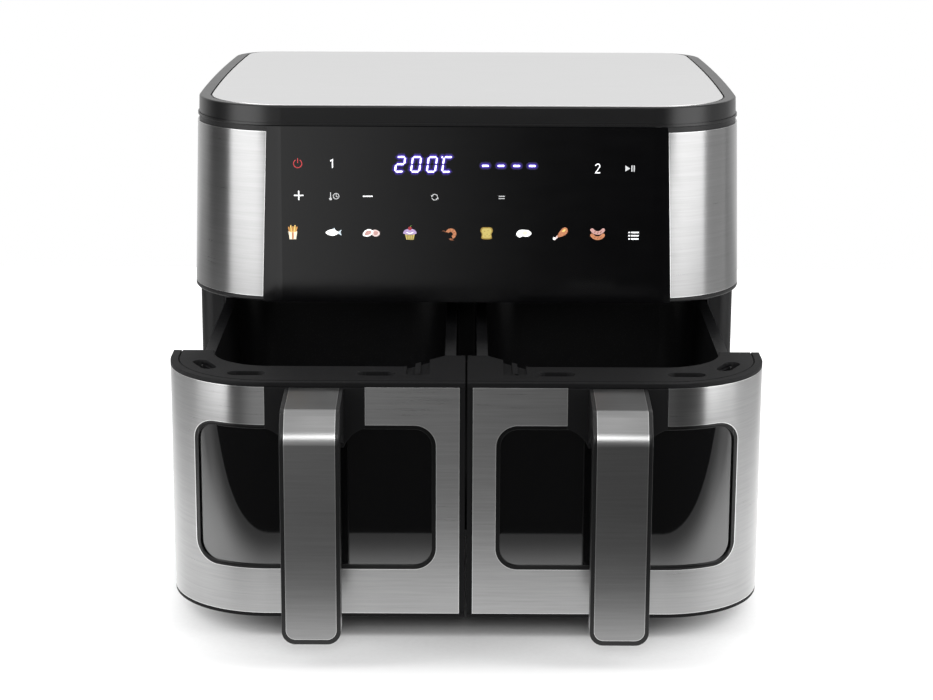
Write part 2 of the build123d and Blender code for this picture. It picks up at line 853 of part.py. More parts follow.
def window_gasket():
    """Dark frame round the window glass, following the curved front."""
    layer = drawer_plan(0, inner_edge) - inset_plan(skin_thick + frame_wall)
    band = upright(layer, fascia_low, fascia_top)
    return band & (window_tool(0) - window_tool(gasket_width))


def window_glass():
    """Curved outer glass."""
    layer = drawer_plan(glass_setback, inner_edge) - inset_plan(glass_setback + glass_thick)
    return upright(layer, fascia_low, fascia_top) & window_tool(gasket_width)


def handle_bracket():
    """Moulded pad in the skin notch, flaring in to the handle below it."""
    half = bracket_width / 2
    grip = handle_width / 2
    z1 = fascia_top - bracket_drop
    z0 = z1 - bracket_flare
    mid_x = grip + (half - grip) / 4
    mid_z = z1 - bracket_flare / 2
    edge = Line((-half, z1), (-half, fascia_top)) + Line((-half, fascia_top), (half, fascia_top))
    edge += Line((half, fascia_top), (half, z1)) + ThreePointArc((half, z1), (mid_x, mid_z), (grip, z0))
    edge += Line((grip, z0), (-grip, z0)) + ThreePointArc((-grip, z0), (-mid_x, mid_z), (-half, z1))
    pad = along_y(Pos(handle_x, 0) * make_face(edge), -bracket_proud, 0)
    inlay = along_y(notch_face(), 0, skin_thick) - window_tool(0)
    return pad + inlay


def handle_side(inset):
    """Side view of the inverted-L handle, its outer line moved inwards by a distance."""
    front = -handle_reach + inset
    knee_y = -handle_reach + knee_depth + inset / 2
    knee_top = fascia_top - handle_drop - inset
    knee_low = fascia_top - handle_drop - knee_height - inset / 2
    inner = -handle_reach + handle_thick
    inner_top = fascia_top - handle_drop - handle_thick
    foot = drawer_low + handle_lift
    root = fascia_top - handle_root
    face = closed_line((-bracket_proud, fascia_top - inset), (knee_y, knee_top), (front, knee_low),
                       (front, foot), (inner, foot), (inner, inner_top), (-bracket_proud, root))
    for y, z, size in ((knee_y, knee_top, knee_upper_round), (front, knee_low, knee_lower_round),
                       (inner, inner_top, handle_inner_round)):
        corner = face.vertices().sort_by_distance((y, z, 0))[0]
        face = fillet(corner, size)
    return face


def grip_face(width, foot, corner):
    """Front view of the handle or its strip: straight sides and a rounded lower end."""
    half = width / 2
    face = frame_rect(handle_x - half, handle_x + half, drawer_low + handle_lift + foot, cap_top)
    return fillet(face.vertices().group_by(Axis.Y)[0], corner)


def grip_tool(width, foot, corner):
    """Front view of the handle carried through its whole reach."""
    return along_y(grip_face(width, foot, corner), -2 * handle_reach, 0)


def strip_layer(width, foot, corner):
    """Outer layer of the handle in which the steel strip lies."""
    half = width / 2
    layer = along_x(handle_side(0) - handle_side(strip_thick), handle_x - half, handle_x + half)
    return layer & grip_tool(width, foot, corner)


def handle():
    """Handle moulding with a channel for the steel strip."""
    half = handle_width / 2
    grip = along_x(handle_side(0), handle_x - half, handle_x + half)
    grip &= grip_tool(handle_width, 0, handle_foot_round)
    return grip - strip_layer(strip_width, strip_end, strip_foot_round)


def handle_strip():
    """Brushed strip over the top and front of the handle."""
    return strip_layer(strip_width, strip_end, strip_foot_round)


def pan_plan(grow):
    """Plan of the pan at its top edge: inside outline grown by a distance."""
    return rounded_rect(pan_inner + pan_wall - grow, pan_outer - pan_wall + grow,
                        pan_setback - grow, pan_back - pan_wall + grow, pan_round + grow)


def drafted(grow, z1, z0):
    """Pan volume that narrows downwards from the top edge."""
    return extrude(Pos(0, 0, z1) * pan_plan(grow), amount=z0 - z1, taper=pan_draft)


def pan_window(margin):
    """Inner window outline carried through the front wall of the pan."""
    x0 = pan_inner + pan_window_inset + margin
    x1 = pan_outer - pan_window_inset - margin
    z0 = window_low + pan_window_margin + margin
    z1 = window_high - pan_window_margin - margin
    return along_y(rounded_rect(x0, x1, z0, z1, pan_window_corner), frame_wall, pan_setback + pan_round)


def pan_body():
    """Drafted pan with a flat flange that runs on the chamber rails."""
    rim = upright(pan_plan(pan_wall + flange_width) & frame_rect(flange_inner, flange_outer, 0, flange_back),
                  flange_low, fascia_top)
    body = rim + drafted(pan_wall, fascia_top, pan_low)
    return body - drafted(0, fascia_top, pan_floor)


def pan():
    """Pan with the opening of its inner window."""
    return pan_body() - pan_window(0)


def pan_glass():
    """Inner window pane in the front wall of the pan."""
    return pan_body() & pan_window(0)


def tray_plan(gap):
    """Plan of the pan at the tray's level, less a gap."""
    narrowing = (fascia_top - pan_floor - tray_lift) * tan(radians(pan_draft))
    return pan_plan(-narrowing - gap)


def crisper_tray():
    """Slotted plate that stands in the pan, with a finger ring hole in the middle."""
    z0 = pan_floor + tray_lift
    face = tray_plan(tray_gap)
    box = face.bounding_box()
    columns = int((box.size.X - 2 * tray_rim) // slot_pitch_x)
    rows = int((box.size.Y - 2 * tray_rim) // slot_pitch_y)
    x_mid = box.center().X
    y_mid = box.center().Y
    for i in range(columns):
        for j in range(rows):
            x = x_mid + (i - (columns - 1) / 2) * slot_pitch_x
            y = y_mid + (j - (rows - 1) / 2) * slot_pitch_y
            clear = abs(x - x_mid) > slot_length / 2 + tray_ring or abs(y - y_mid) > slot_width + tray_ring
            if clear:
                face -= Pos(x, y) * SlotOverall(slot_length, slot_width)
    face -= Pos(x_mid, y_mid) * Circle(tray_ring)
    return upright(face, z0, z0 + tray_thick)


def tray_bumpers():
    """Soft blocks under the corners of the tray."""
    z0 = pan_floor + tray_lift
    box = tray_plan(tray_gap + tray_rim).bounding_box()
    half = bumper_size / 2
    bumpers = []
    for x in (box.min.X + half, box.max.X - half):
        for y in (box.min.Y + half, box.max.Y - half):
            bumper = block(x - half, x + half, y - half, y + half, pan_floor + bumper_rest, z0)
            bumpers.append(bumper.solid())
    return Compound(bumpers)


def pan_screws():
    """Screw heads that hold the pan flange up under the drawer top."""
    x_mid = (pan_inner + pan_outer) / 2
    y = pan_front - flange_width / 2
    heads = []
    for x in (x_mid - pan_window_inset, x_mid + pan_window_inset):
        heads.append(rod(x, y, flange_low - screw_head, flange_low, flange_width / 2 - screw_gap).solid())
    return Compound(heads)


pull_out = flange_back - housing_front - rail_hold
front_reach = pull_out + handle_reach
back_reach = body_depth + gland_flange
to_origin = Vector(0, (front_reach - back_reach) / 2, 0)
drawn_out = Vector(0, -pull_out, 0)


def save(name, shape, shift):
    """Write one named piece in its rest place."""
    export_step(Pos(to_origin + shift) * shape, os.path.join("parts", name + ".step"))


def save_pair(name, shape, shift):
    """Write the right-hand piece and its left-hand mirror image."""
    save("right_" + name, shape, shift)
    save("left_" + name, mirror(shape, about=Plane.YZ), shift)


still = Vector(0, 0, 0)
single_pieces = {
    "housing_shell": housing_shell,
    "base_plate": base_plate,
    "base_screws": base_screws,
    "rubber_feet": rubber_feet,
    "lid_rim": lid_rim,
    "lid_plate": lid_plate,
    "control_panel": control_panel,
    "panel_carrier": panel_carrier,
    "display_module": display_module,
    "control_board": control_board,
    "rear_cover": rear_cover,
    "chamber_divider": chamber_divider,
    "power_board": power_board,
    "power_inlet": power_inlet,
}
housing_pairs = {
    "side_trim": side_trim,
    "chamber_liner": chamber_liner,
    "heater_coil": heater_coil,
    "heater_guard": heater_guard,
    "motor_bridge": motor_bridge,
    "fan_motor": fan_motor,
    "fan_shaft": fan_shaft,
    "convection_fan": convection_fan,
    "cooling_fan": cooling_fan,
    "drawer_switch": drawer_switch,
    "switch_plunger": switch_plunger,
}
drawer_pairs = {
    "drawer_frame": drawer_frame,
    "fascia": fascia,
    "window_gasket": window_gasket,
    "window_glass": window_glass,
    "handle_bracket": handle_bracket,
    "handle": handle,
    "handle_strip": handle_strip,
    "pan": pan,
    "pan_glass": pan_glass,
    "pan_screws": pan_screws,
    "crisper_tray": crisper_tray,
    "tray_bumpers": tray_bumpers,
}

os.makedirs("parts", exist_ok=True)
for piece_name, make in single_pieces.items():
    save(piece_name, make(), still)
for piece_name, make in housing_pairs.items():
    save_pair(piece_name, make(), still)
for piece_name, make in drawer_pairs.items():
    save_pair(piece_name, make(), drawn_out)
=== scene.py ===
"""Two-drawer air fryer: finishes, touch marks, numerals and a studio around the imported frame.

Each operator dresses one group of pieces. Lengths are metres in the row frame, and millimetres in the flat
drawings of what shows on the control panel.
"""
import math

import bpy
from mathutils import Matrix, Vector


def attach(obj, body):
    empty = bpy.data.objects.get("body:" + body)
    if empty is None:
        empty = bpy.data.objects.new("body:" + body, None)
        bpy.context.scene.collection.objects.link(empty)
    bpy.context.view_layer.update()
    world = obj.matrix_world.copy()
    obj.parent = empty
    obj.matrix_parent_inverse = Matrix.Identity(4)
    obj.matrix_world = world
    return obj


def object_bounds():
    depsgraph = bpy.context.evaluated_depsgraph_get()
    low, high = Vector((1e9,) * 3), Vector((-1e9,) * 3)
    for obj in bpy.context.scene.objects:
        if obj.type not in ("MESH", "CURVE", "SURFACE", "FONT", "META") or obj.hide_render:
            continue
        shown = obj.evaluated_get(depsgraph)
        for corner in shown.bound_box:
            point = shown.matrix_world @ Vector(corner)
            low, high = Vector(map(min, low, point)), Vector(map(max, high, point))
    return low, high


bl_info = {
    "name": "Two-Drawer Air Fryer",
    "version": (1, 0, 0),
    "blender": (4, 5, 0),
    "location": "3D View > Sidebar > Air Fryer",
    "description": "Finishes, touch marks and studio for a packed two-drawer air fryer",
    "category": "Object",
}

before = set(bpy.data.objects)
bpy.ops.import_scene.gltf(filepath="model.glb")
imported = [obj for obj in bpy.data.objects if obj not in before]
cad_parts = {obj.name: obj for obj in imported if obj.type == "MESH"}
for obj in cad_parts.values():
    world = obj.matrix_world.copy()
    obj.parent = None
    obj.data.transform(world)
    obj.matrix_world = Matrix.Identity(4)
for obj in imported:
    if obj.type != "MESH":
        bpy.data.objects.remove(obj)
cad_low, cad_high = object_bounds()
MM = 0.001
BLACK = (0, 0, 0)
WHITE = (1, 1, 1)
SIDES = {"left": -1, "right": 1}    # sign of x on each side


def panel_plane():
    """Matrix from a flat drawing (x, height up the panel, lift), in metres, to the front of the panel."""
    corners = [v.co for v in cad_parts["control_panel"].data.vertices]
    low_z = min(c.z for c in corners)
    high_z = max(c.z for c in corners)
    low_y = min(c.y for c in corners if c.z < low_z + MM)
    high_y = min(c.y for c in corners if c.z > high_z - MM)
    up = Vector((0, high_y - low_y, high_z - low_z)).normalized()
    across = Vector((1, 0, 0))
    out = across.cross(up)
    plane = Matrix((across, up, out)).transposed().to_4x4()
    plane.translation = Vector((0, low_y, low_z))
    return plane


class FryerFinishes(bpy.types.PropertyGroup):
    """Colours and surface scales of the finishes."""
    steel_colour: bpy.props.FloatVectorProperty(
        name="Brushed steel", description="Colour of the drawer fronts, side trims and handle strips",
        subtype="COLOR", size=3, min=0, max=1, default=(0.31, 0.31, 0.31))
    lid_colour: bpy.props.FloatVectorProperty(
        name="Lid plate", description="Colour of the satin plate in the lid",
        subtype="COLOR", size=3, min=0, max=1, default=(0.68, 0.68, 0.68))
    gloss_colour: bpy.props.FloatVectorProperty(
        name="Gloss black", description="Colour of the control panel and the lid frame",
        subtype="COLOR", size=3, min=0, max=1, default=(0.0014, 0.0014, 0.0016))
    moulding_colour: bpy.props.FloatVectorProperty(
        name="Drawer moulding", description="Colour of the drawer tops, brackets and handles",
        subtype="COLOR", size=3, min=0, max=1, default=(0.0068, 0.0068, 0.0072))
    shell_colour: bpy.props.FloatVectorProperty(
        name="Housing", description="Colour of the housing moulding",
        subtype="COLOR", size=3, min=0, max=1, default=(0.0045, 0.0045, 0.0048))
    coating_colour: bpy.props.FloatVectorProperty(
        name="Pan coating", description="Colour of the non-stick pans and trays",
        subtype="COLOR", size=3, min=0, max=1, default=(0.004, 0.004, 0.0044))
    grain_pitch: bpy.props.FloatProperty(
        name="Grain pitch", description="Spacing of the brushed lines", unit="LENGTH",
        min=0.0001, max=0.01, default=0.0005)
    texture_pitch: bpy.props.FloatProperty(
        name="Moulded texture", description="Grain size of the moulded plastic", unit="LENGTH",
        min=0.0001, max=0.01, default=0.0009)


class FryerMarks(bpy.types.PropertyGroup):
    """Sizes and colours of what shows on the control panel."""
    print_lift: bpy.props.FloatProperty(
        name="Print thickness", description="Height of a printed mark above the panel", unit="LENGTH",
        min=0.00001, max=0.001, default=0.00008)
    mark_scale: bpy.props.FloatProperty(
        name="Mark size", description="Size of the touch marks against their drawings",
        min=0.1, max=3, default=0.7)
    line_width: bpy.props.FloatProperty(
        name="Line width", description="Width of the thin lines of the touch marks", unit="LENGTH",
        min=0.0001, max=0.005, default=0.0006)
    digit_height: bpy.props.FloatProperty(
        name="Numeral height", description="Height of the lit numerals", unit="LENGTH",
        min=0.001, max=0.05, default=0.01)
    lit_colour: bpy.props.FloatVectorProperty(
        name="Lit numerals", description="Colour of the lit segments",
        subtype="COLOR", size=3, min=0, max=1, default=(0.93, 0.92, 1.0))
    glow_colour: bpy.props.FloatVectorProperty(
        name="Glow", description="Colour of the light round the lit segments",
        subtype="COLOR", size=3, min=0, max=1, default=(0.055, 0.02, 0.42))
    power_colour: bpy.props.FloatVectorProperty(
        name="Power mark", description="Colour of the power mark",
        subtype="COLOR", size=3, min=0, max=1, default=(0.36, 0.03, 0.035))
    mark_colour: bpy.props.FloatVectorProperty(
        name="Touch marks", description="Colour of the printed touch marks",
        subtype="COLOR", size=3, min=0, max=1, default=(0.86, 0.87, 0.88))


class FryerStudio(bpy.types.PropertyGroup):
    """Camera, lamps and floor."""
    lens: bpy.props.FloatProperty(
        name="Lens", description="Focal length on a 36 mm wide image", min=10, max=300, default=94.53)
    camera_place: bpy.props.FloatVectorProperty(
        name="Camera", description="Place of the camera", subtype="TRANSLATION", size=3,
        default=(0.0, -1.6813, 0.5678))
    camera_tilt: bpy.props.FloatProperty(
        name="Tilt", description="Camera angle below the horizon", subtype="ANGLE",
        default=math.radians(14.311))
    camera_roll: bpy.props.FloatProperty(
        name="Roll", description="Camera turn about its line of sight", subtype="ANGLE",
        default=math.radians(0.25))
    card_level: bpy.props.FloatProperty(
        name="Side cards", description="Brightness of the two cards beside the drawers",
        min=0, max=20, default=4.6)
    fill_level: bpy.props.FloatProperty(
        name="Right fill", description="Brightness of the card beside the right-hand wall",
        min=0, max=20, default=0.75)
    key_level: bpy.props.FloatProperty(
        name="Front box", description="Brightness of the soft box above the camera",
        min=0, max=20, default=7.0)
    room_level: bpy.props.FloatProperty(
        name="Room", description="Even light from all round", min=0, max=5, default=0.5)
    floor_front: bpy.props.FloatProperty(
        name="Floor in front", description="Floor in front of the handles", unit="LENGTH",
        min=0.05, max=5, default=0.15)
    floor_half: bpy.props.FloatProperty(
        name="Floor half width", description="Floor to each side of the middle", unit="LENGTH",
        min=0.2, max=5, default=1.2)


class Value:
    """Number at a socket; Python operators on it add Math nodes."""

    def __init__(self, finish, socket):
        self.finish = finish
        self.socket = socket

    def maths(self, operation, first, second):
        """Math node on two values or numbers."""
        return self.finish.node("ShaderNodeMath", {"operation": operation}, {0: first, 1: second})

    def __add__(self, other):
        return self.maths("ADD", self, other)

    def __radd__(self, other):
        return self.maths("ADD", other, self)

    def __sub__(self, other):
        return self.maths("SUBTRACT", self, other)

    def __rsub__(self, other):
        return self.maths("SUBTRACT", other, self)

    def __mul__(self, other):
        return self.maths("MULTIPLY", self, other)

    def __rmul__(self, other):
        return self.maths("MULTIPLY", other, self)

    def __gt__(self, other):
        return self.maths("GREATER_THAN", self, other)

    def __or__(self, other):
        return self.maths("MAXIMUM", self, other)


class Finish:
    """Node tree of one finish, written as expressions."""

    def __init__(self, tree):
        self.tree = tree

    def node(self, kind, settings, sockets, output=0):
        """One node: its settings first, then the values or links of its sockets."""
        made = self.tree.nodes.new(kind)
        for key, setting in settings.items():
            setattr(made, key, setting)
        for key, value in sockets.items():
            self.feed(made.inputs[key], value)
        return Value(self, made.outputs[output])

    def feed(self, socket, value):
        """Link a value to a socket, or set a number or colour on it."""
        if isinstance(value, Value):
            self.tree.links.new(value.socket, socket)
        elif socket.type == "RGBA":
            socket.default_value = (*value[:3], 1)
        else:
            socket.default_value = value

    def place(self, scale):
        """Place on the object in metres, stretched by a scale along each axis."""
        spot = self.node("ShaderNodeTexCoord", {}, {}, "Object")
        return self.node("ShaderNodeVectorMath", {"operation": "MULTIPLY"}, {0: spot, 1: scale})

    def noise(self, scale, detail=2.0, roughness=0.5):
        """Cloudy value from 0 to 1 with a number of cells per metre along each axis."""
        return self.node("ShaderNodeTexNoise", {}, {
            "Vector": self.place(scale), "Scale": 1.0, "Detail": detail, "Roughness": roughness})

    def mix(self, share, first, second):
        """Colour between two colours."""
        return self.node("ShaderNodeMix", {"data_type": "RGBA"}, {0: share, 6: first, 7: second}, 2)

    def tint(self, share, colour, low, high):
        """Colour between a darker and a lighter level of itself."""
        return self.mix(share, shaded(colour, low), shaded(colour, high))

    def axes(self, vector):
        """The three numbers of a vector."""
        return [self.node("ShaderNodeSeparateXYZ", {}, {0: vector}, axis) for axis in "XYZ"]

    def bump(self, height, depth, strength=1.0):
        """Surface normal of a relief of some depth in metres."""
        return self.node("ShaderNodeBump", {}, {"Strength": strength, "Distance": depth, "Height": height})


def shaded(colour, times):
    """Colour made lighter or darker."""
    return tuple(min(1.0, c * times) for c in colour)


def new_finish(name):
    """New material with its tree and shader."""
    material = bpy.data.materials.new(name)
    material.use_nodes = True
    return material, Finish(material.node_tree), material.node_tree.nodes["Principled BSDF"]


def dress(finish, shader, **sockets):
    """Set or link the shader's sockets, named with underscores for spaces."""
    for key, value in sockets.items():
        finish.feed(shader.inputs[key.replace("_", " ")], value)


def even(size):
    """The same scale along all three axes."""
    return (size, size, size)


# Cells per metre in the patterns of the finishes.
FINE_STREAK_CELLS = 40.0
BROAD_STREAK_CELLS = 16.0
CLOUD_CELLS = 14.0
DRAW_MARK_CELLS = 500.0
RIPPLE_CELLS = 60.0
PANEL_WIPE_CELLS = (30.0, 30.0, 120.0)
SHINE_CELLS = 22.0
FLECK_CELLS = 650.0
PEEL_CELLS = 240.0
ROLLED_CELLS = (40.0, 900.0, 900.0)
STAIN_CELLS = 16.0
TRACK_CELLS = 60.0
GLASS_WIPE_CELLS = (60.0, 60.0, 14.0)
SCREEN_CELLS = 1500.0
FIBRE_CELLS = 300.0

# Depth of the reliefs in metres.
BRUSHED_RELIEF = 0.00002
RIPPLE_RELIEF = 0.00006
MOULDED_RELIEF = 0.00008
PEEL_RELIEF = 0.00012
ROLLED_RELIEF = 0.00003
TRACK_RELIEF = 0.00004

# Painted edge highlight and lines of the steel, flecks of the coating, tracks of the boards, and the window
# glass.
HIGHLIGHT_EDGE_REACH = 0.5 * MM
HIGHLIGHT_EDGE_GAIN = 2.0
PAINTED_EDGE_HIGHLIGHT = 2.6
BROAD_LINES = 3
GRAIN_ANGLE = 0.25
FLECK_RADIUS = 0.22
FLECK_COVER = 0.25
FLECK_SHEEN = 9.0
TRACK_GAP = 0.05
GLASS_IOR = 1.7


def brushed_steel(name, colour, pitch, across, rough, smear, contrast):
    """Steel with fine lines and a painted highlight along its edges.

    across is 1 on the axes across the lines, and smear is how far the lines draw out reflections.
    """
    material, finish, shader = new_finish(name)
    cells = 1 / pitch
    fine = finish.noise(tuple(cells if a else FINE_STREAK_CELLS for a in across), 3.0, 0.6)
    broad = finish.noise(tuple(cells / BROAD_LINES if a else BROAD_STREAK_CELLS for a in across))
    cloud = finish.noise(even(CLOUD_CELLS), 1.0)
    grain = fine * 0.5 + broad * 0.5
    # Edges found by occlusion from inside are lightened in the base colour: a painted highlight.
    inside = finish.node("ShaderNodeAmbientOcclusion", {"inside": True, "only_local": True, "samples": 8},
                         {"Distance": HIGHLIGHT_EDGE_REACH}, "AO")
    lines = finish.tint(grain, colour, 1 - contrast, 1 + contrast)
    dress(finish, shader,
          Base_Color=finish.mix((1 - inside) * HIGHLIGHT_EDGE_GAIN, lines, shaded(colour, PAINTED_EDGE_HIGHLIGHT)),
          Roughness=grain * 0.06 + cloud * 0.03 + (rough - 0.04),
          Normal=finish.bump(grain, contrast * BRUSHED_RELIEF),
          Metallic=1.0, Anisotropic=smear, Anisotropic_Rotation=GRAIN_ANGLE)
    return material


def polished_steel(name, colour, rough):
    """Plain polished steel with faint draw marks."""
    material, finish, shader = new_finish(name)
    marks = finish.noise(even(DRAW_MARK_CELLS))
    dress(finish, shader,
          Base_Color=finish.tint(marks, colour, 0.9, 1.1),
          Roughness=marks * 0.1 + rough,
          Metallic=1.0)
    return material


def gloss_plastic(name, colour, rough, level=0.5):
    """Polished black with a faint ripple and wiping marks."""
    material, finish, shader = new_finish(name)
    ripple = finish.noise(even(RIPPLE_CELLS))
    wiped = finish.noise(PANEL_WIPE_CELLS, 3.0)
    dress(finish, shader,
          Base_Color=finish.tint(wiped, colour, 0.8, 1.2),
          Roughness=ripple * 0.03 + wiped * 0.03 + rough,
          Normal=finish.bump(ripple, RIPPLE_RELIEF, 0.1),
          Specular_IOR_Level=level)
    return material


def moulded_plastic(name, colour, pitch, rough, level=0.5):
    """Matt plastic with a spark-eroded grain and slight handling shine."""
    material, finish, shader = new_finish(name)
    grain = finish.noise(even(1 / pitch), 3.0, 0.65)
    shine = finish.noise(even(SHINE_CELLS))
    dress(finish, shader,
          Base_Color=finish.tint(grain, colour, 0.75, 1.3),
          Roughness=grain * 0.16 + shine * 0.1 + (rough - 0.13),
          Normal=finish.bump(grain, MOULDED_RELIEF, 0.6),
          Specular_IOR_Level=level)
    return material


def speckled_coating(name, colour, rough):
    """Dark coating with pale flecks."""
    material, finish, shader = new_finish(name)
    spot = {"Vector": finish.place(even(FLECK_CELLS)), "Scale": 1.0}
    flecks = 1 - (finish.node("ShaderNodeTexVoronoi", {}, spot, "Distance") > FLECK_RADIUS)
    peel = finish.noise(even(PEEL_CELLS))
    dress(finish, shader,
          Base_Color=finish.mix(flecks * FLECK_COVER, colour, shaded(colour, FLECK_SHEEN)),
          Roughness=peel * 0.14 + rough,
          Normal=finish.bump(peel, PEEL_RELIEF, 0.4),
          Specular_IOR_Level=0.2)
    return material


def coated_sheet(name, colour, rough):
    """Sheet metal with a satin coat and faint rolling lines."""
    material, finish, shader = new_finish(name)
    rolled = finish.noise(ROLLED_CELLS)
    stain = finish.noise(even(STAIN_CELLS), 3.0)
    dress(finish, shader,
          Base_Color=finish.tint(stain, colour, 0.7, 1.2),
          Roughness=rolled * 0.15 + rough,
          Normal=finish.bump(rolled, ROLLED_RELIEF),
          Metallic=0.9)
    return material


def circuit_board(name, colour):
    """Green board with tracks under the solder mask."""
    material, finish, shader = new_finish(name)
    spot = {"Vector": finish.place(even(TRACK_CELLS)), "Scale": 1.0, "Mortar Size": TRACK_GAP}
    tracks = finish.node("ShaderNodeTexBrick", {}, spot, "Fac")
    dress(finish, shader,
          Base_Color=finish.mix(tracks, colour, shaded(colour, 2.2)),
          Roughness=tracks * 0.15 + 0.35,
          Normal=finish.bump(tracks, TRACK_RELIEF))
    return material


def tinted_glass(name, colour, cover):
    """Dark window glass with faint wiping marks; cover is how much it hides."""
    material, finish, shader = new_finish(name)
    wipe = finish.noise(GLASS_WIPE_CELLS)
    dress(finish, shader,
          Base_Color=finish.tint(wipe, colour, 0.8, 1.2),
          Roughness=wipe * 0.03 + 0.02,
          Alpha=cover, Specular_IOR_Level=1.0, IOR=GLASS_IOR)
    return material


def printed(name, colour, glow):
    """Ink or lit film on the panel, with a fine screen pattern."""
    material, finish, shader = new_finish(name)
    screen = finish.noise(even(SCREEN_CELLS), 1.0)
    tone = finish.tint(screen, colour, 0.88, 1.06)
    dress(finish, shader,
          Base_Color=tone, Emission_Color=tone, Emission_Strength=glow,
          Roughness=screen * 0.1 + 0.35)
    return material


def arc(centre, radius, start, end, steps=14):
    """Points of an arc, angles in degrees."""
    turns = [math.radians(start + (end - start) * i / steps) for i in range(steps + 1)]
    return [(centre[0] + radius * math.cos(t), centre[1] + radius * math.sin(t)) for t in turns]


def disc(centre, radius, steps=20):
    """Closed round outline."""
    return arc(centre, radius, 0, 360, steps)[:-1]


def bar(x0, x1, y0, y1):
    """Closed rectangle."""
    return [(x0, y0), (x1, y0), (x1, y1), (x0, y1)]


def smooth(points, steps=5):
    """Closed soft outline through some points."""
    made = []
    count = len(points)
    for i in range(count):
        a, b, c, d = (Vector(points[(i + k - 1) % count]) for k in range(4))
        for s in range(steps):
            t = s / steps
            bend = (2 * a - 5 * b + 4 * c - d) * t ** 2 + (3 * b - a - 3 * c + d) * t ** 3
            made.append(tuple(b + ((c - a) * t + bend) / 2))
    return made


SHARPEST_MITRE = 0.4


def stroke(points, width):
    """Outline of a line of some width with round ends."""
    spots = [Vector(p) for p in points]
    runs = [(b - a).normalized() for a, b in zip(spots, spots[1:])]
    left, right = [], []
    for i, spot in enumerate(spots):
        before = runs[max(i - 1, 0)].orthogonal()
        after = runs[min(i, len(runs) - 1)].orthogonal()
        side = (before + after).normalized()
        reach = width / 2 / max(side.dot(before), SHARPEST_MITRE)
        left.append(tuple(spot + side * reach))
        right.append(tuple(spot - side * reach))
    ends = []
    for spot, run in ((spots[-1], runs[-1]), (spots[0], -runs[0])):
        heading = math.degrees(math.atan2(run.y, run.x))
        ends.append(arc(spot, width / 2, heading + 90, heading - 90, 8)[1:-1])
    return left + ends[0] + right[::-1] + ends[1]


def scaled(shape, size):
    """Outline, or outline with holes, drawn larger or smaller about its middle."""
    if isinstance(shape, tuple):
        return tuple(scaled(outline, size) for outline in shape)
    return [(x * size, y * size) for x, y in shape]


def filled(outlines, low, high):
    """Thin mesh inside closed outlines (millimetres), between two lifts (metres) off the drawing plane."""
    curve = bpy.data.curves.new("outline", "CURVE")
    curve.dimensions = "2D"
    curve.fill_mode = "BOTH"
    curve.extrude = (high - low) / 2
    for outline in outlines:
        spline = curve.splines.new("POLY")
        spline.points.add(len(outline) - 1)
        for point, (x, y) in zip(spline.points, outline):
            point.co = (x * MM, y * MM, 0, 1)
        spline.use_cyclic_u = True
    holder = bpy.data.objects.new("outline", curve)
    mesh = bpy.data.meshes.new_from_object(holder)
    mesh.transform(Matrix.Translation((0, 0, (low + high) / 2)))
    bpy.data.objects.remove(holder)
    bpy.data.curves.remove(curve)
    return mesh


def add_object(name, data):
    """New object in the scene's collection."""
    made = bpy.data.objects.new(name, data)
    bpy.context.scene.collection.objects.link(made)
    return made


def add_piece(name, mesh, body):
    """New piece that rides on a body."""
    piece = add_object(name, mesh)
    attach(piece, body)


def panel_piece(name, spot, layers):
    """One piece printed on the panel: layers of (material, shapes), each a little above the last.

    A shape is one outline, or a tuple of an outline and its holes.
    """
    lift = bpy.context.scene.fryer_marks.print_lift
    vertices, faces, owners = [], [], []
    mesh = bpy.data.meshes.new(name)
    for index, (material, shapes) in enumerate(layers):
        mesh.materials.append(material)
        for shape in shapes:
            part = filled(shape if isinstance(shape, tuple) else (shape,), 0.0, lift * (index + 1))
            first = len(vertices)
            vertices += [v.co.copy() for v in part.vertices]
            faces += [[first + i for i in p.vertices] for p in part.polygons]
            owners += [index] * len(part.polygons)
            bpy.data.meshes.remove(part)
    mesh.from_pydata(vertices, [], faces)
    mesh.polygons.foreach_set("material_index", owners)
    plane = panel_plane()
    height = (spot[1] * MM - plane.translation.z) / plane.col[1].z
    mesh.transform(plane @ Matrix.Translation((spot[0] * MM, height, 0)))
    add_piece(name, mesh, "housing")


# Lit numerals and dashes: corners of the segments, places on the panel, and sizes in millimetres.
# A step of the halo is how far it grows and its level.
SEGMENT_ENDS = {
    "a": ((0, 2), (1, 2)), "b": ((1, 1), (1, 2)), "c": ((1, 0), (1, 1)), "d": ((0, 0), (1, 0)),
    "e": ((0, 0), (0, 1)), "f": ((0, 1), (0, 2)), "g": ((0, 1), (1, 1)),
}
NUMERALS = (("two", -45.6, "abged"), ("nought_a", -34.8, "abcdef"), ("nought_b", -24.0, "abcdef"),
            ("degrees", -13.6, "adef"))
DASHES = (12.3, 22.9, 33.5, 44.1)
NUMERAL_LEVEL = 278.7
DASH_LEVEL = 277.9
SEGMENT_WIDTH = 1.15
SEGMENT_GAP = 0.3
HALO_STEPS = ((2.0, 0.05), (1.5, 0.13), (1.0, 0.32), (0.5, 0.75))
DEGREE_SPOT = (-3.4, 4.9)
DEGREE_RADIUS = 0.6
DASH_HALF = 1.65
DASH_WIDTH = 1.3
NUMERAL_SLANT = 0.14
NUMERAL_SHAPE = 0.56


def segment(start, end, width, gap):
    """Lit bar with pointed ends between two corners of a numeral."""
    a, b = Vector(start), Vector(end)
    run = (b - a).normalized()
    side = Vector((-run.y, run.x)) * width / 2
    a += run * gap
    b -= run * gap
    tip = run * width / 2
    return [tuple(p) for p in (a, a + tip + side, b - tip + side, b, b - tip - side, a + tip - side)]


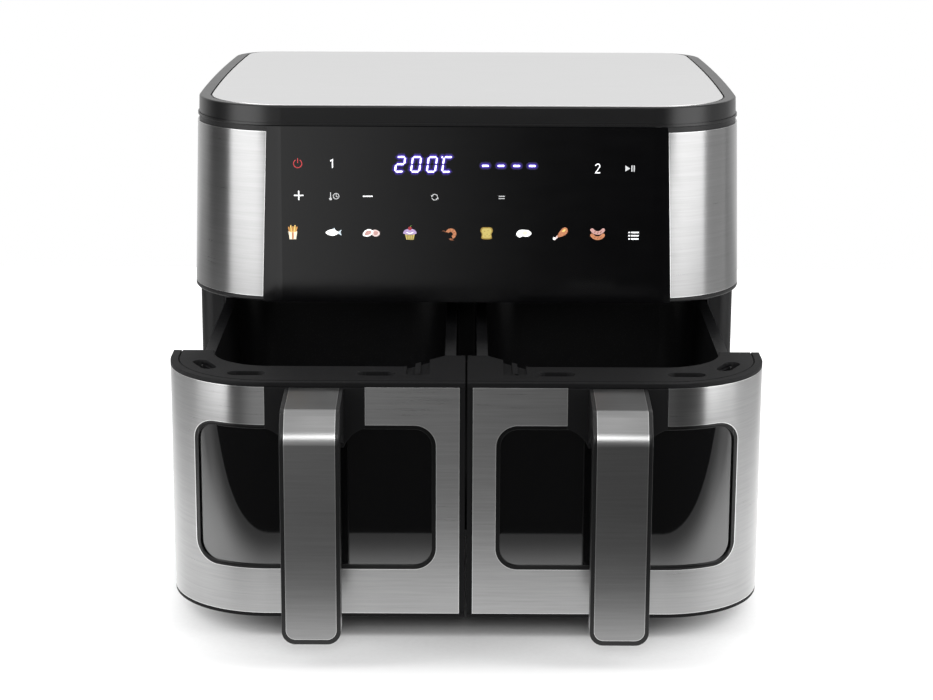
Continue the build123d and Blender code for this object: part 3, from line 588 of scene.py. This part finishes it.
def numeral(letters, height, grow):
    """Outlines of a leaning seven-segment numeral about its middle, each grown by a margin."""
    width = height * NUMERAL_SHAPE
    outlines = []
    for letter in letters:
        corners = [Vector(((x - 0.5) * width, (y / 2 - 0.5) * height)) for x, y in SEGMENT_ENDS[letter]]
        outline = segment(*corners, SEGMENT_WIDTH + 2 * grow, SEGMENT_GAP - grow)
        outlines.append([(x + y * NUMERAL_SLANT, y) for x, y in outline])
    return outlines


FINE_LINE = 0.8
LIST_ROWS = (-3.2, 0, 3.2)


def touch_marks(width):
    """Each touch mark by name: its place on the panel and its shapes, drawn with lines of some width."""
    fine = width * FINE_LINE
    clock = (2.4, 0.0)
    return {
        "power": ((-115.2, 279.0), [
            stroke(arc((0, -0.3), 4.0, 125, 415, 24), width),
            stroke([(0, 4.6), (0, 0.6)], width)]),
        "one": ((-91.9, 278.9), [
            stroke([(-1.4, 2.6), (0.5, 3.9), (0.5, -3.9)], width * 1.2)]),
        "two": ((88.6, 276.4), [
            stroke(arc((0, 2.3), 2.0, 165, -35, 10) + [(-2.0, -4.3), (2.1, -4.3)], width * 1.15)]),
        "start_pause": ((110.3, 276.4), [
            [(-4.2, -3.0), (0.4, 0), (-4.2, 3.0)],
            bar(1.6, 2.7, -3.0, 3.0),
            bar(3.8, 4.9, -3.0, 3.0)]),
        "plus": ((-114.7, 257.0), [[
            (-4.6, -0.6), (-0.6, -0.6), (-0.6, -4.6), (0.6, -4.6), (0.6, -0.6), (4.6, -0.6),
            (4.6, 0.6), (0.6, 0.6), (0.6, 4.6), (-0.6, 4.6), (-0.6, 0.6), (-4.6, 0.6)]]),
        "heat_time": ((-90.9, 256.6), [
            stroke([(-3.0, 3.3), (-3.0, -1.2)], width),
            disc((-3.0, -2.7), 1.35),
            (disc(clock, 3.1), disc(clock, 3.1 - fine)),
            stroke([(2.4, 1.9), (2.4, 0), (3.7, -0.9)], fine)]),
        "minus": ((-67.7, 256.6), [bar(-4.8, 4.8, -0.6, 0.6)]),
        "sync": ((-22.1, 256.2), [
            stroke(arc((0, 0), 2.8, 20, 150, 12), fine),
            stroke(arc((0, 0), 2.8, 200, 330, 12), fine),
            [(-3.7, 1.9), (-1.2, 1.9), (-3.0, -0.4)],
            [(3.7, -1.9), (1.2, -1.9), (3.0, 0.4)]]),
        "equal": ((23.5, 256.2), [bar(-3.0, 3.0, 0.7, 1.5), bar(-3.0, 3.0, -1.5, -0.7)]),
        "list": ((113.8, 230.2), [
            *(bar(-2.7, 5.0, y - 0.65, y + 0.65) for y in LIST_ROWS),
            *(disc((-4.4, y), 0.8, 12) for y in LIST_ROWS)]),
    }


# Food pictures: their height on the panel, and linear colours of the inks.
FOOD_LEVEL = 231.4
FOOD_INKS = {
    "cream": (0.72, 0.64, 0.48), "straw": (0.62, 0.42, 0.13), "amber": (0.42, 0.20, 0.05),
    "white": (0.86, 0.86, 0.85), "sea": (0.45, 0.52, 0.56), "slate": (0.12, 0.15, 0.18),
    "rose": (0.42, 0.24, 0.22), "blush": (0.58, 0.46, 0.44), "lilac": (0.34, 0.25, 0.43),
    "cherry": (0.25, 0.02, 0.03), "cocoa": (0.10, 0.06, 0.03), "coral": (0.38, 0.15, 0.07),
    "russet": (0.20, 0.07, 0.03), "crust": (0.24, 0.16, 0.03), "crumb": (0.42, 0.34, 0.10),
    "herb": (0.10, 0.18, 0.04),
}


def chips():
    """Cup of potato sticks."""
    sticks = [stroke([(x * 0.8, -0.5), (x * 1.25, top)], 1.0)
              for x, top in ((-2.2, 3.4), (-1.1, 4.5), (0.1, 3.9), (1.2, 4.6), (2.2, 3.6))]
    cup = [(-3.0, 0.9), (-1.2, 0.3), (1.2, 0.3), (3.0, 0.9), (2.2, -4.6), (-2.2, -4.6)]
    stripe = [(-0.7, 0.2), (0.7, 0.2), (0.5, -4.5), (-0.5, -4.5)]
    return [("amber", sticks[0::2]), ("straw", sticks[1::2]), ("cream", [cup]), ("coral", [stripe])]


def fish():
    """Whole fish, swimming to the left."""
    body = smooth([(-5.4, 0), (-3.0, 1.9), (0.2, 2.2), (3.0, 0.7), (3.2, -0.5), (0.4, -2.1), (-3.0, -1.7)])
    tail = [(2.8, 0.4), (5.6, 2.2), (4.8, 0.1), (5.6, -2.0), (2.8, -0.4)]
    fins = [(-1.6, 2.0), (0.6, 3.3), (1.6, 1.7)]
    gill = stroke(arc((-4.4, 0), 1.6, -50, 50, 8), 0.35)
    return [("sea", [tail, fins]), ("white", [body]), ("slate", [gill, disc((-4.0, 0.55), 0.42, 10)])]


def chops():
    """Two cuts of meat."""
    back = smooth([(0.2, 1.2), (2.6, 2.2), (5.4, 0.9), (5.6, -1.2), (3.4, -2.6), (0.8, -1.6)])
    back_lean = smooth([(1.6, 0.6), (3.0, 1.3), (4.6, 0.3), (3.4, -1.6), (1.8, -0.9)])
    front = smooth([(-5.8, -1.6), (-4.4, 1.4), (-1.2, 2.6), (1.4, 1.0), (0.2, -1.2), (-2.6, -2.6)])
    front_lean = smooth([(-4.6, -1.3), (-3.6, 0.9), (-1.2, 1.7), (0.2, 0.7), (-0.6, -0.7), (-2.6, -1.7)])
    return [("blush", [back]), ("rose", [back_lean]), ("white", [front]), ("rose", [front_lean])]


def cake():
    """Small iced cake."""
    cup = [(-3.4, -0.4), (3.4, -0.4), (2.5, -4.6), (-2.5, -4.6)]
    folds = [stroke([(x, -0.8), (x * 0.8, -4.3)], 0.35) for x in (-2.0, -0.7, 0.7, 2.0)]
    icing = smooth([(-4.4, -0.4), (-3.6, 1.8), (-1.4, 2.8), (1.4, 2.8), (3.6, 1.8), (4.4, -0.4), (0, -1.1)])
    swirl = stroke(arc((0, 3.4), 3.6, 235, 305, 8), 0.5)
    cherry = disc((0, 3.2), 1.25)
    stalk = stroke([(0.2, 4.3), (0.9, 5.2)], 0.4)
    return [("crumb", [cup]), ("cocoa", folds), ("lilac", [icing]), ("white", [swirl]), ("cherry", [cherry]),
            ("herb", [stalk])]


def prawn():
    """Curled prawn."""
    inner = arc((0.2, -0.6), 1.5, -60, 150, 12)
    outer = arc((0.4, -0.4), 3.7, 158, -70, 16)
    tail = [(0.6, -3.4), (2.6, -5.0), (0.2, -4.9), (-1.2, -3.9)]
    rings = []
    for turn in map(math.radians, (-20, 20, 60, 100)):
        x, y = math.cos(turn), math.sin(turn)
        rings.append(stroke([(0.3 + 1.7 * x, -0.5 + 1.7 * y), (0.4 + 3.5 * x, -0.4 + 3.5 * y)], 0.3))
    feeler = stroke([(-2.6, 0.6), (-4.4, 1.6), (-5.4, 1.4)], 0.35)
    return [("russet", [tail, feeler]), ("coral", [inner + outer]), ("russet", rings)]


def toast():
    """Slice of bread."""
    crust = smooth([(-4.2, 1.6), (-3.2, 3.9), (0, 4.2), (3.2, 3.9), (4.2, 1.6),
                    (3.3, -0.6), (3.2, -3.8), (-3.2, -3.8), (-3.3, -0.6)])
    crumb = [(x * 0.8, y * 0.8 + 0.1) for x, y in crust]
    holes = [disc(c, 0.35, 8) for c in ((-1.4, 1.4), (1.0, 2.0), (0.4, -0.6), (-1.0, -1.8), (1.7, -1.7))]
    return [("crust", [crust]), ("crumb", [crumb]), ("crust", holes)]


def egg():
    """Fried egg."""
    white = smooth([(-5.2, -0.6), (-3.4, 2.2), (0.2, 2.6), (3.6, 2.0),
                    (5.2, -0.2), (2.6, -2.2), (-0.6, -2.0), (-3.2, -2.8)])
    yolk = disc((0.8, 0.3), 1.5)
    return [("white", [white]), ("cream", [yolk])]


def drumstick():
    """Roast drumstick."""
    bone = stroke([(-1.6, -1.4), (-4.0, -3.8)], 1.3)
    knob = disc((-4.5, -3.4), 0.9, 12)
    meat = smooth([(-2.2, -1.6), (-0.6, 1.6), (2.0, 4.2), (4.4, 3.6), (4.6, 1.0), (2.4, -1.2), (-1.2, -2.4)])
    shine = smooth([(0.8, 1.4), (2.2, 3.2), (3.4, 2.9), (2.6, 1.4)])
    return [("blush", [bone]), ("white", [knob]), ("coral", [meat]), ("straw", [shine])]


def sausages():
    """Two grilled sausages."""
    drops = (0.2, 3.8)
    upper, lower = (stroke(arc((0, 5.4 - drop), 4.6, 215, 325, 12), 2.5) for drop in drops)
    seared = [stroke([(x, 0.2 - drop + abs(x) * 0.3), (x + 0.7, 1.4 - drop + abs(x) * 0.3)], 0.4)
              for drop in drops for x in (-2.2, -0.2, 1.8)]
    return [("rose", [upper]), ("coral", [lower]), ("russet", seared)]


FOODS = (("chips", -119.0, chips), ("fish", -91.2, fish), ("chops", -65.4, chops), ("cake", -39.0, cake),
         ("prawn", -11.4, prawn), ("toast", 13.4, toast), ("egg", 38.8, egg), ("drumstick", 64.0, drumstick),
         ("sausages", 89.2, sausages))


WELD_REACH = 0.01 * MM
BROKEN_EDGE = 0.4 * MM
SHARP_EDGE = math.radians(40)


def soften(*names):
    """Break the sharp edges of CAD nodes so that they catch the light."""
    for name in names:
        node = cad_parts[name]
        weld = node.modifiers.new("joined_faces", "WELD")
        weld.merge_threshold = WELD_REACH
        bevel = node.modifiers.new("broken_edges", "BEVEL")
        bevel.width = BROKEN_EDGE
        bevel.segments = 2
        bevel.limit_method = "ANGLE"
        bevel.angle_limit = SHARP_EDGE
        bevel.use_clamp_overlap = False
        bevel.harden_normals = True


# Lowest and highest corner of the right-hand lip in millimetres, and the faces of a box.
LIP_LOW = (169.5, -144.6, 161.0)
LIP_HIGH = (173.5, -143.8, 164.3)
BOX_FACES = ((0, 2, 3, 1), (4, 5, 7, 6), (0, 1, 5, 4), (2, 6, 7, 3), (0, 4, 6, 2), (1, 3, 7, 5))


def recess_shade_lips(material):
    """Small dark lip behind each corner recess, which closes the gap under the pan's flange, as painted shade
    inside the recess.
    """
    along_x, along_y, along_z = zip(LIP_LOW, LIP_HIGH)
    for side, sign in SIDES.items():
        corners = [(sign * x * MM, y * MM, z * MM) for z in along_z for y in along_y for x in along_x]
        mesh = bpy.data.meshes.new(f"{side}_recess_shade_lip")
        mesh.from_pydata(corners, [], [face[::sign] for face in BOX_FACES])
        mesh.materials.append(material)
        add_piece(f"{side}_recess_shade_lip", mesh, f"{side}_drawer")


def assign(material, *names):
    """Give a finish to CAD nodes."""
    for name in names:
        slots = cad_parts[name].data.materials
        slots.clear()
        slots.append(material)


def pair(*names):
    """Left and right nodes of some names."""
    return [f"{side}_{name}" for name in names for side in SIDES]


# Axes across the brushed lines.
FRONT_LINES = (0, 0, 1)
STRIP_LINES = (0, 1, 1)
LID_LINES = (0, 1, 0)

# Steel of the trims and strips against that of the drawer fronts. The trims are the same steel, darkened as
# painted shade.
TRIM_PAINTED_SHADE = 0.68
STRIP_SHADE = 0.9


class FRYER_OT_steel(bpy.types.Operator):
    """Brush the drawer fronts, side trims and handle strips"""
    bl_idname = "fryer.steel"
    bl_label = "Brushed Steel"

    def execute(self, context):
        look = context.scene.fryer_finishes
        steel, pitch = look.steel_colour, look.grain_pitch
        front = {"across": FRONT_LINES, "rough": 0.28, "smear": 0.7, "contrast": 0.24}
        skin = brushed_steel("brushed_skin", steel, pitch, **front)
        # The side trims take a darker copy of the front steel: painted shade.
        trim = brushed_steel("brushed_trim_painted_shade", shaded(steel, TRIM_PAINTED_SHADE), pitch, **front)
        strip = brushed_steel("brushed_strip", shaded(steel, STRIP_SHADE), pitch,
                              across=STRIP_LINES, rough=0.29, smear=0.3, contrast=0.2)
        assign(skin, *pair("fascia"))
        assign(trim, *pair("side_trim"))
        assign(strip, *pair("handle_strip"))
        return {"FINISHED"}


class FRYER_OT_lid(bpy.types.Operator):
    """Finish the satin lid plate and its gloss frame"""
    bl_idname = "fryer.lid"
    bl_label = "Lid"

    def execute(self, context):
        look = context.scene.fryer_finishes
        plate = brushed_steel("satin_plate", look.lid_colour, look.grain_pitch,
                              across=LID_LINES, rough=0.42, smear=0.0, contrast=0.08)
        assign(plate, "lid_plate")
        assign(gloss_plastic("gloss_frame", look.gloss_colour, rough=0.3, level=0.3), "lid_rim")
        return {"FINISHED"}


class FRYER_OT_panel(bpy.types.Operator):
    """Finish the gloss control panel"""
    bl_idname = "fryer.panel"
    bl_label = "Control Panel"

    def execute(self, context):
        look = context.scene.fryer_finishes
        assign(gloss_plastic("gloss_panel", look.gloss_colour, rough=0.08), "control_panel")
        return {"FINISHED"}


SCREW_STEEL = (0.5, 0.5, 0.51)
RUBBER_SHADE = 1.2
RUBBER_GRAIN = 2


class FRYER_OT_housing(bpy.types.Operator):
    """Finish the housing mouldings, screws, inlet and rubber parts"""
    bl_idname = "fryer.housing"
    bl_label = "Housing"

    def execute(self, context):
        look = context.scene.fryer_finishes
        pitch = look.texture_pitch
        shell = moulded_plastic("housing_moulding", look.shell_colour, pitch, rough=0.42, level=0.2)
        rubber = moulded_plastic("soft_rubber", shaded(look.shell_colour, RUBBER_SHADE), pitch * RUBBER_GRAIN,
                                 rough=0.75)
        screws = polished_steel("screw_steel", SCREW_STEEL, rough=0.28)
        assign(shell, "housing_shell", "rear_cover", "base_plate", "chamber_divider")
        assign(rubber, "rubber_feet", "power_inlet", *pair("tray_bumpers"))
        assign(screws, "base_screws", *pair("pan_screws"))
        return {"FINISHED"}


# Handles and window seals against the drawer moulding.
GRIP_SHADE = 0.8
SEAL_SHADE = 0.25
SEAL_GRAIN = 2


class FRYER_OT_drawers(bpy.types.Operator):
    """Finish the drawer mouldings, brackets, handles and window seals, and fill the gaps at the recesses with
    dark pieces as painted shade
    """
    bl_idname = "fryer.drawers"
    bl_label = "Drawers"

    def execute(self, context):
        look = context.scene.fryer_finishes
        colour, pitch = look.moulding_colour, look.texture_pitch
        moulding = moulded_plastic("drawer_moulding", colour, pitch, rough=0.6, level=0.1)
        grip = moulded_plastic("handle_moulding", shaded(colour, GRIP_SHADE), pitch, rough=0.34, level=0.4)
        seal = moulded_plastic("window_seal", shaded(colour, SEAL_SHADE), pitch * SEAL_GRAIN,
                               rough=0.35, level=0.2)
        assign(moulding, *pair("drawer_frame", "handle_bracket"))
        assign(grip, *pair("handle"))
        assign(seal, *pair("window_gasket"))
        soften(*pair("drawer_frame", "handle_bracket", "handle", "window_gasket"))
        # Dark pieces in the recess gaps stand in for the shade there.
        recess_shade_lips(seal)
        return {"FINISHED"}


OUTER_TINT = (0.002, 0.002, 0.0022)
INNER_TINT = (0.02, 0.021, 0.022)


class FRYER_OT_windows(bpy.types.Operator):
    """Glaze the drawers and the pans"""
    bl_idname = "fryer.windows"
    bl_label = "Windows"

    def execute(self, context):
        assign(tinted_glass("outer_glass", OUTER_TINT, cover=0.94), *pair("window_glass"))
        assign(tinted_glass("inner_glass", INNER_TINT, cover=0.55), *pair("pan_glass"))
        return {"FINISHED"}


TRAY_SHADE = 1.4


class FRYER_OT_pans(bpy.types.Operator):
    """Coat the pans and trays"""
    bl_idname = "fryer.pans"
    bl_label = "Pans"

    def execute(self, context):
        colour = context.scene.fryer_finishes.coating_colour
        assign(speckled_coating("pan_coating", colour, rough=0.3), *pair("pan"))
        assign(speckled_coating("tray_coating", shaded(colour, TRAY_SHADE), rough=0.36), *pair("crisper_tray"))
        return {"FINISHED"}


CHAMBER_GREY = (0.03, 0.03, 0.031)
HEATER_BROWN = (0.16, 0.14, 0.12)
GUARD_STEEL = (0.45, 0.44, 0.43)
ZINC_GREY = (0.52, 0.53, 0.55)
FAN_STEEL = (0.55, 0.55, 0.55)
INNER_BLACK = (0.05, 0.05, 0.052)
PLUNGER_RED = (0.5, 0.06, 0.05)
BOARD_GREEN = (0.01, 0.09, 0.035)
DISPLAY_BLACK = (0.01, 0.01, 0.014)


class FRYER_OT_works(bpy.types.Operator):
    """Finish the chambers, heaters, fans, boards and switches"""
    bl_idname = "fryer.works"
    bl_label = "Inner Works"

    def execute(self, context):
        pitch = context.scene.fryer_finishes.texture_pitch
        assign(coated_sheet("chamber_coat", CHAMBER_GREY, rough=0.4), *pair("chamber_liner"))
        assign(coated_sheet("heat_darkened", HEATER_BROWN, rough=0.35), *pair("heater_coil"))
        assign(polished_steel("guard_wire", GUARD_STEEL, rough=0.3), *pair("heater_guard"))
        zinc = coated_sheet("zinc_plate", ZINC_GREY, rough=0.3)
        assign(zinc, *pair("motor_bridge", "fan_motor", "fan_shaft"))
        assign(polished_steel("fan_sheet", FAN_STEEL, rough=0.3), *pair("convection_fan"))
        inner = moulded_plastic("inner_plastic", INNER_BLACK, pitch, rough=0.5)
        assign(inner, "panel_carrier", *pair("cooling_fan", "drawer_switch"))
        assign(moulded_plastic("plunger_plastic", PLUNGER_RED, pitch, rough=0.4), *pair("switch_plunger"))
        assign(circuit_board("board_mask", BOARD_GREEN), "control_board", "power_board")
        assign(gloss_plastic("display_face", DISPLAY_BLACK, rough=0.2), "display_module")
        return {"FINISHED"}


class FRYER_OT_numerals(bpy.types.Operator):
    """Light the temperature numerals and the four dashes, with a soft halo round each"""
    bl_idname = "fryer.numerals"
    bl_label = "Lit Numerals"

    def execute(self, context):
        look = context.scene.fryer_marks
        halo = [(grow, printed(f"halo_{step}", shaded(look.glow_colour, level), glow=1.0))
                for step, (grow, level) in enumerate(HALO_STEPS)]
        inks = halo + [(0.0, printed("lit_segment", look.lit_colour, glow=1.0))]
        height = look.digit_height / MM
        for name, x, letters in NUMERALS:
            layers = [(ink, numeral(letters, height, grow)) for grow, ink in inks]
            if name == "degrees":
                for (grow, _), (_, shapes) in zip(inks, layers):
                    shapes.append(disc(DEGREE_SPOT, DEGREE_RADIUS + grow, 12))
            panel_piece(f"numeral_{name}", (x, NUMERAL_LEVEL), layers)
        for index, x in enumerate(DASHES):
            line = [(-DASH_HALF, 0), (DASH_HALF, 0)]
            layers = [(ink, [stroke(line, DASH_WIDTH + 2 * grow)]) for grow, ink in inks]
            panel_piece(f"dash_{index + 1}", (x, DASH_LEVEL), layers)
        return {"FINISHED"}


# The small marks are printed greyer than the rest.
FAINT_MARKS = ("heat_time", "sync", "equal", "start_pause")
FAINT_SHADE = 0.5


class FRYER_OT_touch_marks(bpy.types.Operator):
    """Print the touch marks on the control panel"""
    bl_idname = "fryer.touch_marks"
    bl_label = "Touch Marks"

    def execute(self, context):
        look = context.scene.fryer_marks
        ink = printed("mark_ink", look.mark_colour, glow=0.55)
        faint = printed("faint_ink", shaded(look.mark_colour, FAINT_SHADE), glow=0.5)
        power = printed("power_ink", look.power_colour, glow=0.55)
        inks = {"power": power, **dict.fromkeys(FAINT_MARKS, faint)}
        size = look.mark_scale
        for name, (spot, shapes) in touch_marks(look.line_width / MM / size).items():
            shapes = [scaled(shape, size) for shape in shapes]
            panel_piece(f"mark_{name}", spot, [(inks.get(name, ink), shapes)])
        return {"FINISHED"}


class FRYER_OT_food_marks(bpy.types.Operator):
    """Print the food pictures along the control panel"""
    bl_idname = "fryer.food_marks"
    bl_label = "Food Marks"

    def execute(self, context):
        inks = {name: printed(f"ink_{name}", colour, glow=0.5) for name, colour in FOOD_INKS.items()}
        for name, x, draw in FOODS:
            layers = [(inks[ink], outlines) for ink, outlines in draw()]
            panel_piece(f"food_{name}", (x, FOOD_LEVEL), layers)
        return {"FINISHED"}


def soft_box(name, place, aim, size, level):
    """Soft box of a given brightness, unseen by the camera."""
    lamp = bpy.data.lights.new(name, "AREA")
    lamp.shape = "RECTANGLE"
    lamp.size, lamp.size_y = size
    lamp.energy = level * math.pi * size[0] * size[1]
    box = add_object(name, lamp)
    box.location = place
    box.rotation_euler = (Vector(aim) - Vector(place)).to_track_quat("-Z", "Y").to_euler()
    box.visible_camera = False


def seen_rays(finish):
    """Camera share of the rays, and the share that mirrors and glass send out."""
    camera, glossy, through = (finish.node("ShaderNodeLightPath", {}, {}, f"Is {kind} Ray")
                               for kind in ("Camera", "Glossy", "Transmission"))
    return camera, glossy | through


def ramp(finish, value, low, high, start, end):
    """Smooth change from start to end as a value goes from low to high."""
    return finish.node("ShaderNodeMapRange", {"interpolation_type": "SMOOTHSTEP"}, {
        "Value": value, "From Min": low, "From Max": high, "To Min": start, "To Max": end})


# Room in the mirrors: smooth changes (low, high, start, end) over a heading from -1 to 1.
FRONT_WALL = (-0.95, -0.8, 1.0, 0.0)
FRONT_FOOT = (-0.24, -0.19, 0.0, 1.0)
FRONT_FADE = (-0.2, 0.06, 1.7, 0.0)
FRONT_LEFT = (-0.2, -0.09, 0.66, 1.0)
SIDE_WALLS = (-0.5, 0.1, 0.02, 0.15)
BACK_WALL = (0.15, 0.7, 0.0, 1.0)
CEILING = (0.3, 0.85, 0.0, 1.0)


def build_world(level):
    """White room: white to the camera, light and dark walls in mirrors, even light for the rest."""
    world = bpy.data.worlds.new("studio_room")
    bpy.context.scene.world = world
    world.use_nodes = True
    finish = Finish(world.node_tree)
    camera, mirrored = seen_rays(finish)
    heading = finish.node("ShaderNodeTexCoord", {}, {}, "Generated")
    right, behind, above = finish.axes(heading)
    front = (ramp(finish, behind, *FRONT_WALL) * ramp(finish, above, *FRONT_FOOT)
             * ramp(finish, right, *FRONT_FADE) * ramp(finish, right, *FRONT_LEFT))
    side = ramp(finish, behind, *SIDE_WALLS)
    back = ramp(finish, behind, *BACK_WALL)
    top = ramp(finish, above, *CEILING)
    studio = side | back | top | front
    strength = camera + (1 - camera) * (mirrored * studio + (1 - mirrored) * level)
    backdrop = world.node_tree.nodes["Background"]
    finish.feed(backdrop.inputs["Strength"], strength)
    finish.feed(backdrop.inputs["Color"], WHITE)


FLOOR_BACK = 0.9
FLOOR_DROP = 0.0002
FLOOR_GREY = (0.65, 0.65, 0.65)

# Smooth changes (low, high, start, end) over the floor, in metres from the middle.
# To the camera the floor is lit up to white, except where the object's shadow lies.
SHADOW_BESIDE = (0.1, 0.32, 1.0, 0.0)
SHADOW_FRONT = (-0.36, -0.17, 0.0, 1.0)
SHADOW_BACK = (0.1, 0.45, 1.0, 0.0)
NEAR_FRONT = (-0.4, -0.29, 0.0, 1.0)
MIRRORED_BESIDE = (0.3, 0.6, 0.9, 0.1)


def build_floor(front, half):
    """White sheet that ends a little way in front of the object, behind it and beside it."""
    near = cad_low.y - front
    vertices = [(-half, near, 0), (half, near, 0), (half, FLOOR_BACK, 0), (-half, FLOOR_BACK, 0)]
    mesh = bpy.data.meshes.new("floor")
    mesh.from_pydata(vertices, [], [(0, 1, 2, 3)])
    floor = add_object("floor", mesh)
    floor.location.z = -FLOOR_DROP
    material, finish, shader = new_finish("floor_paper")
    camera, mirrored = seen_rays(finish)
    fibre = finish.noise(even(FIBRE_CELLS))
    across, along = finish.axes(finish.node("ShaderNodeTexCoord", {}, {}, "Object"))[:2]
    beside = finish.node("ShaderNodeMath", {"operation": "ABSOLUTE"}, {0: across})
    shadow = (ramp(finish, beside, *SHADOW_BESIDE) * ramp(finish, along, *SHADOW_FRONT)
              * ramp(finish, along, *SHADOW_BACK))
    near_front = ramp(finish, along, *NEAR_FRONT)
    glow = camera * (1 - shadow) + mirrored * near_front * ramp(finish, beside, *MIRRORED_BESIDE)
    # The floor's colour is darker along its front edge: painted shade, which darkens the floor seen in the
    # steel.
    tone = near_front * 0.4 + fibre * 0.1 + 0.5
    dress(finish, shader,
          Base_Color=finish.mix(tone, BLACK, FLOOR_GREY), Roughness=0.9, Specular_IOR_Level=0.0,
          Emission_Color=finish.mix(glow, BLACK, WHITE), Emission_Strength=1.0)
    mesh.materials.append(material)


# Place, aim and size of each soft box; the card is the right-hand one of two.
CARD_PLACE, CARD_AIM, CARD_SIZE = (0.55, -0.275, 0.45), (0.43, 0.15, 0.45), (0.5, 0.7)
FILL_PLACE, FILL_AIM, FILL_SIZE = (0.95, 0.0, 0.35), (0.0, 0.0, 0.3), (0.7, 0.7)
KEY_PLACE, KEY_AIM, KEY_SIZE = (0, -2.0, 1.08), (0, -0.2, 0.16), (0.7, 0.65)
SENSOR_WIDTH = 36


class FRYER_OT_stage(bpy.types.Operator):
    """Set the floor, the lamps, the room and the camera"""
    bl_idname = "fryer.stage"
    bl_label = "Studio"

    def execute(self, context):
        scene = context.scene
        look = scene.fryer_studio
        scene.view_settings.view_transform = "Standard"
        build_world(look.room_level)
        build_floor(look.floor_front, look.floor_half)
        for side, sign in SIDES.items():
            place, aim = ((sign * x, y, z) for x, y, z in (CARD_PLACE, CARD_AIM))
            soft_box(f"{side}_card", place, aim, CARD_SIZE, look.card_level)
        soft_box("right_fill", FILL_PLACE, FILL_AIM, FILL_SIZE, look.fill_level)
        soft_box("front_box", KEY_PLACE, KEY_AIM, KEY_SIZE, look.key_level)
        lens = bpy.data.cameras.new("photo_camera")
        lens.sensor_width = SENSOR_WIDTH
        lens.lens = look.lens
        camera = add_object("photo_camera", lens)
        camera.location = look.camera_place
        upright = Matrix.Rotation(math.pi / 2 - look.camera_tilt, 3, "X")
        camera.rotation_euler = (upright @ Matrix.Rotation(look.camera_roll, 3, "Z")).to_euler()
        scene.camera = camera
        return {"FINISHED"}


STEPS = (FRYER_OT_steel, FRYER_OT_lid, FRYER_OT_panel, FRYER_OT_housing, FRYER_OT_drawers, FRYER_OT_windows,
         FRYER_OT_pans, FRYER_OT_works, FRYER_OT_numerals, FRYER_OT_touch_marks, FRYER_OT_food_marks,
         FRYER_OT_stage)


class FRYER_PT_panel(bpy.types.Panel):
    """Sidebar list of the steps and their settings"""
    bl_idname = "FRYER_PT_panel"
    bl_label = "Air Fryer"
    bl_space_type = "VIEW_3D"
    bl_region_type = "UI"
    bl_category = "Air Fryer"

    def draw(self, context):
        for group in (context.scene.fryer_finishes, context.scene.fryer_marks, context.scene.fryer_studio):
            box = self.layout.box()
            for key in group.bl_rna.properties.keys():
                if key not in {"rna_type", "name"}:
                    box.prop(group, key)
        for step in STEPS:
            self.layout.operator(step.bl_idname)


SETTINGS = {"fryer_finishes": FryerFinishes, "fryer_marks": FryerMarks, "fryer_studio": FryerStudio}
CLASSES = (*SETTINGS.values(), *STEPS, FRYER_PT_panel)


def register():
    """Add the settings, steps and sidebar."""
    for cls in CLASSES:
        bpy.utils.register_class(cls)
    for key, group in SETTINGS.items():
        setattr(bpy.types.Scene, key, bpy.props.PointerProperty(type=group))


def unregister():
    """Take away what register added."""
    for key in SETTINGS:
        delattr(bpy.types.Scene, key)
    for cls in reversed(CLASSES):
        bpy.utils.unregister_class(cls)


def main():
    """Run every step."""
    register()
    for step in STEPS:
        group, action = step.bl_idname.split(".")
        getattr(getattr(bpy.ops, group), action)()


if __name__ == "__main__":
    main()
